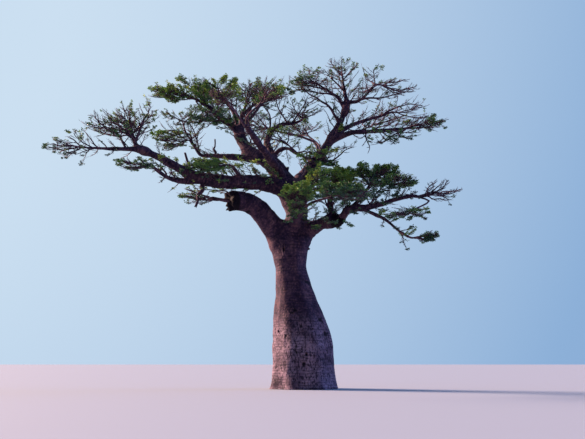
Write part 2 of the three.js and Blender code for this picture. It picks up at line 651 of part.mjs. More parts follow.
function massSolid(mass) {
  const stemSides = mass.stemRadius > THICK_STEM ? 5 : 4;
  const stem = tubeAlong(mass.stem, taper(mass.stemRadius, mass.ribRadius), stemSides, STEM_RINGS);
  const radiusAt = taper(mass.ribRadius, TWIG_TIP_RADIUS);
  const ribs = ribTips(mass)
    .map((tip, k) => ({ k, tip, key: childKey(mass.key, k) }))
    .map((rib) => ({ ...rib, curve: ribCurve(mass, rib.k, rib.tip, rib.key) }))
    .filter(({ curve }) => fits(mass, curve.getSpacedPoints(6).slice(2), mass.ribRadius))
    .map((rib) => ({ ...rib, solid: tubeAlong(rib.curve, radiusAt, TWIG_SIDES, RIB_RINGS) }));
  const side = [];
  for (const rib of ribs) {
    const others = [stem, ...ribs.filter((other) => other !== rib).map((other) => other.solid)];
    const add = (piece) => piece && side.push(piece);
    if (chance(rib.key, "leaf") < mass.sprays) {
      add(sprayAt(mass, rib.tip, rib.curve.getTangentAt(1), SPRAY_SINK, rib.key, [...others, ...side]));
    }
    SIDE_PLACES.forEach(({ share, turn }, i) => {
      const key = childKey(rib.key, i);
      const root = rib.curve.getPointAt(share);
      const heading = sideHeading(rib.curve.getTangentAt(share), turn, key);
      const radius = SIDE_RADIUS_SHARE * radiusAt(share);
      const around = [...others, ...side];
      if (chance(key, "leaf") < mass.sprays) add(sprayAt(mass, root, heading, radius, key, around));
      else if (i % 2 === rib.k % 2) {
        const length = SIDE_LENGTH * rib.curve.getLength() * (SIDE_LENGTH_START - share);
        add(sideTwigAt(mass, root, heading, length, radius, around));
      }
    });
  }
  const cutter = limbSolid(mass.on, GAP);
  const fused = (pieces) => largestBody(joined(pieces).subtract(cutter));
  const pieces = [stem, ...ribs.map((rib) => rib.solid), ...side];
  const whole = fused(pieces);
  if (closesCleanly(whole)) return whole;
  // Pieces that would leave it touching itself are left out one by one.
  const kept = [];
  for (const piece of pieces) if (closesCleanly(fused([...kept, piece]))) kept.push(piece);
  return fused(kept);
}
for (const mass of masses.values()) {
  group.add(meshOf(mass.name, massSolid(mass), mass.sprays > BARE_SPRAY_SHARE ? FOLIAGE : BARE_TWIGS));
}

export default group;
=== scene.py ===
"""A mature baobab: the bark's relief over trunk and boughs, and the crown's twigs and leaves.

Everything is in metres, +Z up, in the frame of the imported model: the origin is the middle of the flat cut under
the trunk, +X lies to the right of the front view and +Y away from it.
"""

import json
import logging
import math
from dataclasses import dataclass, field, fields
from enum import Enum

import bpy
import numpy as np
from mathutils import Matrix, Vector

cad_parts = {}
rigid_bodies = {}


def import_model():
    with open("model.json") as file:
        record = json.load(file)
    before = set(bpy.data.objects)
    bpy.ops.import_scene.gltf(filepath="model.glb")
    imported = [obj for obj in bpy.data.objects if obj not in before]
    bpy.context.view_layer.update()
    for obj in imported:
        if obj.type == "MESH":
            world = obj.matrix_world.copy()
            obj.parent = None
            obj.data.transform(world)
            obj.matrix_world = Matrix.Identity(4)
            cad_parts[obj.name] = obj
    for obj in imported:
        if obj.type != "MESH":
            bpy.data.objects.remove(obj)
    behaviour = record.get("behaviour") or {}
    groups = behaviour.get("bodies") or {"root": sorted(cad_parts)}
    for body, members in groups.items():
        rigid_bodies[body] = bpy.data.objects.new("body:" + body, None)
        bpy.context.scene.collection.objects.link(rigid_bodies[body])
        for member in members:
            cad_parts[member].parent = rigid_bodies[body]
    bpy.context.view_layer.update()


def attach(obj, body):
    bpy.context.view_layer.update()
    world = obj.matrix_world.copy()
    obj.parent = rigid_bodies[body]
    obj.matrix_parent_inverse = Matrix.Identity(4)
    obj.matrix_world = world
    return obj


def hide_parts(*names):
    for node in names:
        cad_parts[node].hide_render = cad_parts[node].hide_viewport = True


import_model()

log = logging.getLogger("baobab")

Array = np.ndarray
Point = tuple[float, float, float]
Material = bpy.types.Material
Tree = bpy.types.NodeTree
Socket = bpy.types.NodeSocket

MM, CM = 0.001, 0.01
UP = np.array([0.0, 0.0, 1.0])
ACROSS = np.array([1.0, 0.0, 0.0])
GOLDEN_ANGLE = math.pi * (3 - math.sqrt(5))
MOST_TRIANGLES = 190_000  # in one piece
TAPER_POWER = 0.85  # of a twig's or limb's radius along its length
STEEP = 0.85  # upward part of a heading, past which a twig's rings are laid out from +X


# Plans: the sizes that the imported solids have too.


@dataclass(frozen=True)
class TrunkPlan:
    """Sizes of the trunk in millimetres: a wide belly, a waist, and the swelling of the fork."""

    belly_radius: float = 1640
    belly_top: float = 1350
    waist_radius: float = 815
    waist_height: float = 7000
    fork_radius: float = 1010
    fork_height: float = 7800
    top: float = 8300
    lean: float = -700
    lean_start: float = 1400
    flare: float = 110
    flare_height: float = 420
    flute_depth: float = 45
    flutes: int = 7
    flute_twist: float = 2600
    fork_narrowness: float = 0.25
    crown_drop: float = 0.8
    crown_least: float = 0.05
    flute_share: float = 0.5


@dataclass(frozen=True)
class Scar:
    """A slit or pit in the trunk: its angle from +X, height, half sizes, depth and raised rim in metres."""

    angle: float
    height: float
    half_width: float
    half_height: float
    depth: float
    rim: float


SCARS: tuple[Scar, ...] = tuple(Scar(*row) for row in (
    (-1.95, 7.45, 0.06, 0.26, 0.10, 0.02), (-2.57, 2.99, 0.07, 0.09, 0.07, 0.02),
    (-1.475, 1.78, 0.10, 0.09, 0.09, 0.035), (-1.15, 3.1, 0.05, 0.06, 0.04, 0.015),
    (-0.3, 2.2, 0.07, 0.08, 0.06, 0.02), (1.2, 4.1, 0.08, 0.12, 0.07, 0.03),
    (2.4, 2.5, 0.10, 0.10, 0.08, 0.03), (0.5, 5.3, 0.05, 0.08, 0.05, 0.02),
))


@dataclass(frozen=True)
class LimbPlan:
    """A limb: what it grows from, where (share of length, or height in mm), radii in mm, bends in cm."""

    name: str
    parent: str
    at: float
    root: float
    tip: float
    bends: tuple[Point, ...]


@dataclass(frozen=True)
class SpurPlan:
    """A dead spur on a limb: where it stands, its radii and its end, in millimetres."""

    limb: str
    at: float
    root: float
    tip: float
    end: Point


@dataclass(frozen=True)
class MassPlan:
    """A mass of foliage: its limb, its space in cm, its ribs, their share of sprays, how leafy it is, and how lit
    its painted leaf tints are.
    """

    name: str
    limb: str
    middle: Point
    half: Point
    ribs: int
    sprays: float
    leaf: float
    # painted light: how light a tint its leaves get
    sun: float = 0.4


def limb_plans(*rows: tuple) -> tuple[LimbPlan, ...]:
    """Plans of limbs, from rows of five values and then the bends."""
    return tuple(LimbPlan(*row[:5], row[5:]) for row in rows)


LIMBS: tuple[LimbPlan, ...] = limb_plans(
    ("centre_bough", "trunk", 7300, 640, 520, (-47, 0, 850), (-37, 0, 960), (-55, 5, 1078)),
    ("snapped_bough", "trunk", 7200, 720, 500, (-105, 0, 785), (-164, -30, 865), (-238, -80, 944),
     (-312, -120, 986), (-384, -160, 983)),
    ("right_bough", "trunk", 7200, 620, 190, (-38, 0, 790), (6, -5, 822), (65, -30, 864),
     (119, -60, 884), (166, -85, 883), (187, -100, 875)),
    ("front_bough", "centre_bough", 0.35, 340, 170, (-34, -200, 890), (-10, -340, 905)),
    ("back_bough", "centre_bough", 0.65, 400, 180, (-23, 190, 1168), (49, 380, 1308),
     (107, 520, 1418)),
    ("long_left_bough", "centre_bough", 0.84, 540, 45, (-121, -30, 1085), (-223, -80, 1099),
     (-380, -160, 1087), (-529, -220, 1092), (-649, -270, 1134), (-756, -300, 1188),
     (-837, -340, 1215), (-988, -380, 1211), (-1100, -420, 1207)),
    ("upper_left_bough", "centre_bough", 0.9, 540, 240, (-99, 24, 1139), (-167, 54, 1226),
     (-230, 80, 1279), (-312, 110, 1334), (-352, 140, 1401), (-363, 170, 1476)),
    ("upper_right_bough", "centre_bough", 0.86, 440, 80, (25, 18, 1140), (77, 46, 1240),
     (133, 72, 1341), (180, 90, 1417), (220, 100, 1503), (255, 114, 1594), (243, 140, 1715)),
    ("front_left_bough", "upper_left_bough", 0.16, 280, 130, (-162, -140, 1196), (-236, -320, 1260),
     (-290, -460, 1310)),
    ("middle_limb", "upper_left_bough", 0.32, 300, 75, (-181, 130, 1321), (-205, 160, 1389),
     (-177, 180, 1467), (-125, 190, 1506), (-50, 200, 1520), (-15, 205, 1533)),
    ("middle_right_limb", "middle_limb", 0.25, 130, 85, (-128, 80, 1326), (-83, 40, 1324),
     (-32, -20, 1277)),
    ("reaching_left_limb", "upper_left_bough", 0.52, 230, 85, (-305, 100, 1281), (-410, 130, 1298),
     (-517, 170, 1314), (-589, 190, 1325), (-625, 190, 1373), (-648, 185, 1405)),
    ("crown_left_limb", "upper_left_bough", 0.86, 190, 95, (-412, 150, 1488), (-477, 138, 1529),
     (-536, 132, 1591), (-583, 132, 1621)),
    ("left_fan_limb", "long_left_bough", 0.755, 160, 100, (-863, -320, 1242), (-889, -300, 1296)),
    ("lower_left_limb", "long_left_bough", 0.41, 240, 75, (-606, -270, 1068), (-669, -340, 1060),
     (-714, -410, 1072), (-757, -460, 1102)),
    ("shelf_limb", "long_left_bough", 0.29, 130, 80, (-350, -205, 1128), (-365, -235, 1145)),
    ("high_left_limb", "upper_right_bough", 0.8, 110, 60, (206, 120, 1647), (162, 105, 1679),
     (125, 88, 1696)),
    ("right_high_limb", "upper_right_bough", 0.8, 120, 70, (276, 130, 1620), (317, 130, 1629),
     (359, 140, 1660), (407, 140, 1715)),
    ("right_upper_limb", "upper_right_bough", 0.58, 150, 75, (275, 140, 1485), (368, 200, 1536),
     (461, 240, 1573), (495, 250, 1590)),
    ("right_shelf_limb", "upper_right_bough", 0.54, 180, 80, (270, 70, 1423), (371, 50, 1426),
     (494, 40, 1432), (565, 35, 1439)),
    ("right_reach_bough", "right_bough", 0.88, 240, 85, (213, -120, 909), (237, -160, 937),
     (302, -210, 936), (372, -250, 939), (473, -280, 967), (558, -300, 982),
     (595, -315, 974)),
    ("dome_riser", "right_bough", 0.8, 190, 110, (151, -80, 922), (143, -90, 1003),
     (139, -100, 1040)),
    ("dome_limb", "right_reach_bough", 0.2, 130, 80, (297, -150, 990), (330, -145, 1035)),
    ("right_low_limb", "right_reach_bough", 0.39, 120, 55, (368, -280, 889), (418, -330, 851),
     (475, -390, 785), (513, -430, 751)),
)

# Boughs that end broken off.
BROKEN = ("snapped_bough", "right_bough")

SPURS: tuple[SpurPlan, ...] = tuple(SpurPlan(*row) for row in (
    ("long_left_bough", 0.46, 150, 60, (-5590, -2750, 9290)),
    ("long_left_bough", 0.52, 80, 50, (-6210, -2600, 12200)),
    ("reaching_left_limb", 0.61, 75, 45, (-5080, 1700, 14150)),
    ("upper_left_bough", 0.2, 170, 60, (-820, 200, 12120)),
))


# Branches that the limbs fork into inside the masses. Only the finer crown has them.
BRANCHES: tuple[LimbPlan, ...] = limb_plans(
    ("saddle", "reaching_left_limb", 0.97, 65, 18, (-655, 185, 1444), (-709, 170, 1452),
     (-790, 150, 1458), (-844, 130, 1425)),
    ("crown_left", "crown_left_limb", 0.97, 75, 22, (-623, 120, 1647), (-679, 110, 1656),
     (-754, 100, 1671), (-835, 100, 1689)),
    ("crown_middle", "upper_left_bough", 0.93, 130, 25, (-346, 170, 1498), (-288, 180, 1563),
     (-249, 200, 1631), (-191, 230, 1684), (-130, 280, 1770)),
    ("crown_top", "upper_left_bough", 0.97, 100, 25, (-329, 180, 1551), (-301, 190, 1621),
     (-290, 200, 1680), (-310, 220, 1735), (-293, 240, 1790)),
    ("crown_low", "crown_left_limb", 0.1, 70, 20, (-447, 60, 1485), (-552, 10, 1476), (-650, -30, 1456)),
    ("crown_back", "crown_left_limb", 0.5, 80, 22, (-490, 190, 1590), (-505, 250, 1670), (-550, 300, 1740)),
    ("middle_upright", "middle_limb", 0.52, 75, 20, (-189, 200, 1554), (-221, 240, 1625),
     (-240, 280, 1700)),
    ("middle_right_upright", "middle_limb", 0.9, 60, 18, (-29, 190, 1564), (16, 190, 1634),
     (34, 190, 1689)),
    ("fan_outer", "left_fan_limb", 0.95, 70, 18, (-946, -290, 1339), (-990, -280, 1368),
     (-1051, -270, 1391)),
    ("fan_inner", "left_fan_limb", 0.7, 85, 20, (-838, -300, 1377), (-812, -290, 1430), (-798, -280, 1470)),
    ("fan_middle", "left_fan_limb", 0.98, 70, 20, (-902, -330, 1379), (-915, -350, 1437)),
    ("fan_low", "long_left_bough", 0.83, 70, 16, (-970, -360, 1305), (-1033, -360, 1332),
     (-1099, -350, 1352)),
    ("far_upright", "long_left_bough", 0.97, 45, 14, (-1135, -410, 1244), (-1161, -420, 1267),
     (-1175, -420, 1290)),
    ("far_low", "long_left_bough", 0.96, 40, 14, (-1109, -420, 1185), (-1142, -460, 1155)),
    ("low_left", "lower_left_limb", 0.75, 55, 16, (-697, -390, 1082), (-736, -440, 1117),
     (-770, -480, 1112)),
    ("stump", "snapped_bough", 0.93, 55, 16, (-425, -170, 1035), (-485, -170, 1041), (-564, -180, 1039)),
    ("high_left", "upper_right_bough", 0.69, 100, 22, (164, 90, 1571), (91, 60, 1621), (42, 30, 1637),
     (-15, 0, 1666)),
    ("high_left_twigs", "high_left_limb", 0.9, 60, 18, (55, 90, 1709), (-43, 60, 1735)),
    ("top_upright", "upper_right_bough", 0.97, 80, 22, (232, 160, 1800), (209, 170, 1850)),
    ("top_left", "upper_right_bough", 0.97, 60, 18, (178, 120, 1756), (154, 100, 1780), (125, 80, 1805)),
    ("right_high", "right_high_limb", 0.45, 75, 18, (360, 120, 1645), (449, 130, 1652), (574, 140, 1687),
     (645, 150, 1715)),
    ("right_upper", "right_upper_limb", 0.95, 70, 18, (562, 250, 1635), (641, 280, 1662), (734, 300, 1660)),
    ("right_far", "right_shelf_limb", 0.97, 70, 18, (649, 30, 1448), (766, 40, 1461), (800, 40, 1465)),
    ("right_hanging", "right_shelf_limb", 0.5, 50, 15, (362, 30, 1363), (376, 10, 1323), (363, 0, 1285)),
    ("right_low", "right_shelf_limb", 0.7, 55, 15, (477, 0, 1384), (509, -30, 1353)),
    ("thin_right", "upper_right_bough", 0.34, 70, 18, (182, 0, 1253), (227, -30, 1297), (287, -60, 1317)),
    ("tip_upper", "right_reach_bough", 0.98, 60, 14, (646, -330, 997), (681, -340, 1021),
     (720, -350, 1035)),
    ("tip_lower", "right_reach_bough", 0.98, 60, 14, (687, -350, 983), (719, -370, 957), (752, -380, 950)),
    ("centre", "middle_right_limb", 0.95, 65, 20, (0, -80, 1274), (48, -130, 1260)),
    ("dome_top", "dome_limb", 0.97, 70, 20, (376, -130, 1099), (427, -110, 1142), (483, -100, 1167)),
    ("dome_left", "dome_riser", 0.97, 80, 22, (79, -140, 1086), (15, -170, 1117)),
    ("crown_gap", "crown_left_limb", 0.8, 60, 18, (-617, 120, 1671), (-651, 100, 1713), (-708, 90, 1735)),
    ("crown_edge", "crown_left_limb", 0.6, 60, 18, (-570, 160, 1697), (-583, 160, 1750)),
    ("middle_far", "middle_limb", 0.85, 55, 16, (-156, 260, 1694), (-108, 260, 1744), (-60, 260, 1781)),
    ("high_low", "high_left_limb", 0.6, 55, 16, (-15, 20, 1661), (-60, 0, 1643), (-105, -20, 1601)),
    ("dome_low", "right_reach_bough", 0.48, 55, 16, (396, -280, 1018), (456, -300, 1024)),
    ("dome_far", "right_reach_bough", 0.66, 50, 16, (506, -300, 990), (568, -300, 990)),
    ("reach_low", "reaching_left_limb", 0.8, 55, 16, (-656, 180, 1509), (-736, 160, 1539),
     (-810, 150, 1548)),
    ("crown_under", "crown_left_limb", 0.05, 60, 16, (-461, 80, 1515), (-547, 40, 1490), (-623, 20, 1460)),
    ("dome_inner", "dome_riser", 0.3, 60, 18, (105, -150, 1002), (70, -210, 1040), (36, -260, 1050)),
    ("dome_under", "dome_riser", 0.5, 60, 18, (183, -170, 999), (255, -210, 973)),
    ("front_sweep", "front_bough", 0.75, 70, 20, (-20, -400, 960), (36, -400, 1023), (112, -380, 1080)),
    ("front_low", "front_bough", 0.7, 50, 15, (-40, -390, 895), (-60, -400, 880)),
    ("dome_right", "dome_riser", 0.97, 80, 22, (190, -130, 1100), (260, -130, 1140)),
)


@dataclass(frozen=True)
class Opening:
    """A gap where the front view shows sky: middle and half sizes in picture pixels, share of twigs kept."""

    across: float
    down: float
    half_across: float
    half_down: float
    kept: float = 0.0


OPENINGS: tuple[Opening, ...] = tuple(Opening(*row) for row in (
    (266, 204, 15, 9), (279, 209, 6, 9), (296, 172, 8, 6), (216, 138, 17, 9, 0.25), (313, 208, 5, 7, 0.5),
    (318, 138, 11, 6, 0.3), (400, 154, 45, 8, 0.1), (345, 156, 12, 5, 0.3),
))


@dataclass(frozen=True)
class LimbSprays:
    """Twigs along a limb: how many a metre, how long, the share in leaf, and from where to where."""

    limb: str
    each_metre: float
    length: float
    leaf: float
    start: float = 0.1
    end: float = 1.0


LIMB_SPRAYS: tuple[LimbSprays, ...] = tuple(LimbSprays(*row) for row in (
    ("long_left_bough", 10, 1.0, 0.8, 0.1, 0.5), ("long_left_bough", 3, 0.8, 0.5, 0.5, 0.76),
    ("long_left_bough", 5, 0.9, 0.35, 0.76), ("left_fan_limb", 8, 1.2, 0.5, 0.3),
    ("lower_left_limb", 4, 0.8, 0.5, 0.35), ("upper_left_bough", 5, 1.1, 0.5, 0.45),
    ("reaching_left_limb", 5, 1.1, 0.4, 0.45), ("crown_left_limb", 6, 1.1, 0.6, 0.2),
    ("middle_limb", 6, 1.1, 0.35, 0.2), ("middle_right_limb", 4, 0.9, 0.6, 0.3),
    ("front_left_bough", 4, 1.0, 0.6, 0.4), ("front_bough", 5, 1.0, 0.9, 0.3),
    ("back_bough", 4, 1.1, 0.7, 0.35), ("upper_right_bough", 4, 1.0, 0.7, 0.25, 0.5),
    ("upper_right_bough", 5.5, 1.2, 0.25, 0.5), ("high_left_limb", 6, 1.1, 0.3),
    ("right_high_limb", 6, 1.2, 0.15), ("right_upper_limb", 6, 1.1, 0.25, 0.15),
    ("right_shelf_limb", 5, 0.8, 0.3), ("right_bough", 5, 0.8, 0.9, 0.62),
    ("right_reach_bough", 5, 0.9, 0.9, 0.05, 0.75), ("right_reach_bough", 2, 0.6, 0.1, 0.75),
    ("dome_riser", 6, 1.0, 0.9, 0.2), ("dome_limb", 6, 1.0, 0.9, 0.2),
    ("right_low_limb", 4, 0.6, 0.9, 0.35), ("saddle", 7, 0.9, 0.6), ("crown_left", 7, 1.0, 0.8),
    ("crown_middle", 6, 1.2, 0.3), ("crown_top", 6, 1.2, 0.3), ("crown_low", 7, 0.9, 0.6),
    ("crown_back", 7, 1.2, 0.7), ("middle_upright", 5, 1.2, 0.4), ("middle_right_upright", 5, 1.0, 0.3),
    ("fan_outer", 8, 1.2, 0.06), ("fan_inner", 9, 1.1, 0.6), ("fan_middle", 9, 1.1, 0.5),
    ("fan_low", 7, 1.1, 0.1), ("far_upright", 6, 0.7, 0.2), ("far_low", 6, 0.7, 0.5),
    ("low_left", 7, 0.8, 0.4), ("stump", 6, 0.8, 0.3), ("high_left", 5, 1.0, 0.5, 0.2),
    ("high_left_twigs", 5, 1.0, 0.3), ("top_upright", 5, 1.0, 0.3), ("top_left", 5, 0.9, 0.3),
    ("right_high", 5, 0.9, 0.1), ("right_upper", 5, 0.9, 0.2), ("right_far", 6, 0.8, 0.5),
    ("right_hanging", 6, 0.6, 0.4), ("right_low", 7, 0.8, 0.4), ("thin_right", 6, 0.8, 0.7, 0.2),
    ("tip_upper", 6, 0.7, 0.0, 0.2), ("tip_lower", 6, 0.7, 0.0, 0.2), ("centre", 5, 1.0, 0.6, 0.2),
    ("crown_gap", 8, 1.0, 0.7), ("crown_edge", 8, 1.0, 0.7), ("middle_far", 7, 1.0, 0.4),
    ("high_low", 7, 1.0, 0.4), ("dome_low", 7, 0.9, 0.8), ("dome_far", 7, 0.8, 0.8),
    ("reach_low", 7, 1.0, 0.2), ("crown_under", 7, 1.0, 0.3), ("dome_inner", 9, 1.1, 0.9, 0.2),
    ("dome_under", 7, 0.9, 0.7, 0.2), ("front_sweep", 10, 1.1, 1.0, 0.2), ("front_low", 8, 0.6, 0.9, 0.2),
    ("right_bough", 5, 0.9, 0.7, 0.45, 0.62), ("dome_top", 7, 1.0, 0.9), ("dome_left", 7, 1.0, 0.9),
    ("dome_right", 7, 1.0, 0.9),
))


MASSES: tuple[MassPlan, ...] = tuple(MassPlan(f"{name}_mass", *row) for name, *row in (
    ("far_left", "long_left_bough", (-1191, -440, 1204), (125, 130, 56), 5, 0.5, 0.12, 0.35),
    ("left_fan", "left_fan_limb", (-945, -290, 1370), (215, 160, 108), 9, 0.55, 0.17, 0.45),
    ("lower_left", "lower_left_limb", (-830, -500, 1100), (123, 110, 39), 5, 0.75, 0.18),
    ("saddle", "reaching_left_limb", (-725, 120, 1390), (144, 150, 62), 5, 0.8, 0.25),
    ("shelf", "shelf_limb", (-475, -320, 1137), (170, 90, 40), 6, 0.95, 0.85, 0.45),
    ("stump", "snapped_bough", (-550, -200, 1008), (150, 110, 44), 5, 0.6, 0.2),
    ("reaching_left", "reaching_left_limb", (-720, 230, 1573), (160, 150, 54), 5, 0.5, 0.2),
    ("crown_left", "crown_left_limb", (-740, 110, 1668), (150, 170, 44), 6, 0.95, 0.75, 0.55),
    ("crown_left_low", "crown_left_limb", (-530, -30, 1495), (135, 160, 48), 6, 0.95, 0.5, 0.35),
    ("crown_left_back", "upper_left_bough", (-510, 280, 1756), (175, 190, 62), 7, 0.95, 0.55,
     0.5),
    ("crown_mid_left", "upper_left_bough", (-305, 140, 1675), (105, 180, 75), 6, 0.8, 0.2),
    ("front_left", "front_left_bough", (-377, -620, 1401), (114, 150, 49), 6, 0.9, 0.35, 0.45),
    ("front_high", "front_left_bough", (-181, -480, 1458), (91, 150, 66), 5, 0.75, 0.25, 0.5),
    ("middle_high", "upper_left_bough", (-222, 340, 1746), (137, 180, 95), 7, 0.8, 0.2, 0.45),
    ("middle_right", "middle_limb", (11, 220, 1612), (124, 170, 70), 5, 0.6, 0.08),
    ("middle_low", "middle_right_limb", (-141, -140, 1353), (125, 130, 48), 5, 0.8, 0.12, 0.6),
    ("centre", "middle_right_limb", (82, -160, 1208), (108, 150, 62), 6, 0.95, 0.65, 0.5),
    ("high_left", "high_left_limb", (46, -60, 1692), (140, 170, 57), 6, 0.75, 0.15),
    ("top", "upper_right_bough", (231, 160, 1835), (109, 160, 70), 5, 0.6, 0.1),
    ("high_right", "right_high_limb", (438, 260, 1794), (138, 170, 80), 5, 0.5, 0.12, 0.35),
    ("right_high", "right_high_limb", (570, 140, 1709), (117, 140, 48), 6, 0.1, 0.05, 0.35),
    ("right_upper", "right_upper_limb", (637, 300, 1626), (168, 150, 62), 5, 0.35, 0.05, 0.35),
    ("right_far", "right_shelf_limb", (692, 50, 1476), (150, 130, 40), 6, 0.75, 0.2, 0.35),
    ("right_shelf", "right_shelf_limb", (492, -60, 1369), (166, 140, 48), 5, 0.6, 0.15, 0.35),
    ("front", "front_bough", (-35, -490, 925), (83, 140, 105), 8, 1.0, 0.5, 0.45),
    ("front_right", "front_bough", (191, -630, 934), (128, 140, 49), 6, 1.0, 0.6, 0.28),
    ("dome_left", "dome_riser", (165, -140, 1100), (133, 180, 78), 7, 1.0, 0.8, 0.55),
    ("dome_mid", "dome_limb", (385, -90, 1142), (150, 170, 62), 8, 1.0, 0.75),
    ("dome_right", "dome_limb", (500, -260, 1065), (105, 150, 45), 5, 0.95, 0.7),
    ("right_tip", "right_reach_bough", (700, -370, 999), (111, 130, 52), 6, 0.0, 0.0, 0.35),
    ("right_low", "right_reach_bough", (505, -520, 852), (126, 100, 35), 5, 0.8, 0.25, 0.35),
    ("right_drop", "right_low_limb", (595, -470, 747), (65, 80, 28), 4, 0.9, 0.4, 0.3),
    ("back_right", "back_bough", (540, 700, 1690), (170, 190, 80), 6, 0.75, 0.15, 0.35),
    ("back", "back_bough", (10, 790, 1650), (170, 200, 80), 6, 0.75, 0.25, 0.35),
    ("back_left", "back_bough", (-340, 640, 1650), (175, 200, 80), 6, 0.8, 0.2),
))


# Randomness that depends only on a key, as in the source, so that one twig's draws don't disturb another's.


class Draw(Enum):
    """What each of a twig's draws decides."""

    TURN = 0
    DROOP = 1
    SWAY = 2
    TILT = 3
    ROLL = 4
    SIZE = 5
    LEAF = 6
    TINT = 7
    EXTRA = 8


FIRST_DRAW = 100
WORD = np.uint64(0xFFFFFFFF)


def scramble(number: Array) -> Array:
    """Stirs 32-bit numbers: shifts laid over themselves between two multiplications.

    Args:
        number: whole numbers of up to 32 bits.

    Returns:
        Numbers of 32 bits that look random.
    """
    x = np.asarray(number, np.uint64) & WORD
    for shift, factor in ((16, 0x7FEB352D), (15, 0x846CA68B)):
        x = x ^ (x >> np.uint64(shift))
        x = (x * np.uint64(factor)) & WORD
    return x ^ (x >> np.uint64(16))


def child_key(key: Array, index: Array | int) -> Array:
    """The keys of twigs' children, out of the parents' keys and each child's place in its row."""
    step = (np.asarray(index, np.uint64) + np.uint64(1)) * np.uint64(0x9E3779B9)
    return scramble((np.asarray(key, np.uint64) + (step & WORD)) & WORD)


def chance(key: Array, draw: Draw) -> Array:
    """A random share from 0 to 1 for each key, for one decision."""
    return child_key(key, FIRST_DRAW + draw.value).astype(float) / 2.0**32


def smooth_noise(place: Array, seed: int) -> Array:
    """Lattice noise: a random value at each whole-number corner, blended by an S-curve across each cell.

    Args:
        place: points, with one cell per unit, in an array whose last axis is xyz.
        seed: which noise.

    Returns:
        A value from -1 to 1 for each point.
    """
    cell = np.floor(place)
    part = place - cell
    part = part**3 * (part * (6 * part - 15) + 10)
    cell = cell.astype(np.int64)
    total = np.zeros(place.shape[:-1])
    for corner in np.ndindex(2, 2, 2):
        spot = cell + np.array(corner)
        mixed = spot[..., 0] * 73856093 ^ spot[..., 1] * 19349663 ^ spot[..., 2] * 83492791 ^ (seed * 2654435)
        value = scramble(mixed & 0xFFFFFFFF).astype(float) / 2.0**31 - 1
        total += value * np.prod(np.where(corner, part, 1 - part), axis=-1)
    return total


def noise_vectors(place: tuple[Array | float, ...], apart: float, seed: int) -> Array:
    """Three noises for each point, taken at places that lie apart along the third axis.

    Args:
        place: the points' three coordinates.
        apart: how far the second and third noise lie from the one before.
        seed: which noise.

    Returns:
        A vector of three values from -1 to 1 for each point.
    """
    first, second, third = np.broadcast_arrays(*place)
    return np.stack([
        smooth_noise(np.stack([first, second, third + apart * axis], axis=-1), seed) for axis in range(3)
    ], axis=-1)


def smooth_step(low: float, high: float, value: Array) -> Array:
    """An S-curve from 0 at low to 1 at high."""
    x = np.clip((value - low) / (high - low), 0, 1)
    return x * x * (3 - 2 * x)


def unit(vectors: Array) -> Array:
    """The vectors at length one."""
    return vectors / np.maximum(np.linalg.norm(vectors, axis=-1, keepdims=True), 1e-9)


# Curves.


@dataclass
class Curves:
    """Centripetal curves through rows of points, all rows with the same number of points.

    Each stretch is the cubic between two points whose slopes come from their neighbours, where a distance
    counts as its square root; past both ends the points are mirrored. A share is a share of the length.
    """

    points: Array
    travelled: Array = field(init=False)

    DIVISIONS = 200

    def __post_init__(self) -> None:
        """Measures the length along each curve."""
        steps = np.linspace(0, 1, self.DIVISIONS + 1)
        fine = self.evaluate(np.broadcast_to(steps, (len(self.points), len(steps))))
        hops = np.linalg.norm(np.diff(fine, axis=1), axis=2)
        self.travelled = np.concatenate([np.zeros((len(hops), 1)), np.cumsum(hops, axis=1)], axis=1)

    @property
    def length(self) -> Array:
        """The length of each curve."""
        return self.travelled[:, -1]

    def evaluate(self, t: Array) -> Array:
        """Points by the curve's own parameter.

        Args:
            t: parameters from 0 to 1, one row for each curve.

        Returns:
            A row of points for each curve.
        """
        count = self.points.shape[1]
        before = 2 * self.points[:, :1] - self.points[:, 1:2]
        after = 2 * self.points[:, -1:] - self.points[:, -2:-1]
        padded = np.concatenate([before, self.points, after], axis=1)
        place = np.clip(t, 0, 1) * (count - 1)
        piece = np.minimum(place.astype(int), count - 2)
        w = (place - piece)[..., None]
        row = np.arange(len(self.points))[:, None]
        p0, p1, p2, p3 = (padded[row, piece + k] for k in range(4))
        hops = (p1 - p0, p2 - p1, p3 - p2)
        d0, d1, d2 = (np.sqrt(np.linalg.norm(hop, axis=-1, keepdims=True)) for hop in hops)
        slope1 = ((p1 - p0) / d0 - (p2 - p0) / (d0 + d1) + (p2 - p1) / d1) * d1
        slope2 = ((p2 - p1) / d1 - (p3 - p1) / (d1 + d2) + (p3 - p2) / d2) * d1
        square = -3 * p1 + 3 * p2 - 2 * slope1 - slope2
        cube = 2 * p1 - 2 * p2 + slope1 + slope2
        return p1 + w * (slope1 + w * (square + w * cube))

    def _parameter(self, share: Array) -> Array:
        """The curve's own parameters at shares of its length, found between the measured steps.

        Args:
            share: shares from 0 to 1, one row for each curve.

        Returns:
            A row of parameters for each curve.
        """
        target = share * self.length[:, None]
        index = (self.travelled[:, :, None] <= target[:, None, :]).sum(axis=1) - 1
        index = np.clip(index, 0, self.DIVISIONS - 1)
        row = np.arange(len(self.points))[:, None]
        low, high = self.travelled[row, index], self.travelled[row, index + 1]
        return (index + (target - low) / np.maximum(high - low, 1e-12)) / self.DIVISIONS

    def at(self, share: Array) -> Array:
        """Points at shares of the length, one row of shares for each curve."""
        return self.evaluate(self._parameter(share))

    def heading(self, share: Array) -> Array:
        """Unit directions at shares of the length, one row of shares for each curve."""
        t = self._parameter(share)
        nudge = 1e-4
        return unit(self.evaluate(np.minimum(t + nudge, 1)) - self.evaluate(np.maximum(t - nudge, 0)))


def even_angles(count: int) -> Array:
    """Angles that share out a full turn."""
    return np.arange(count) * 2 * math.pi / count


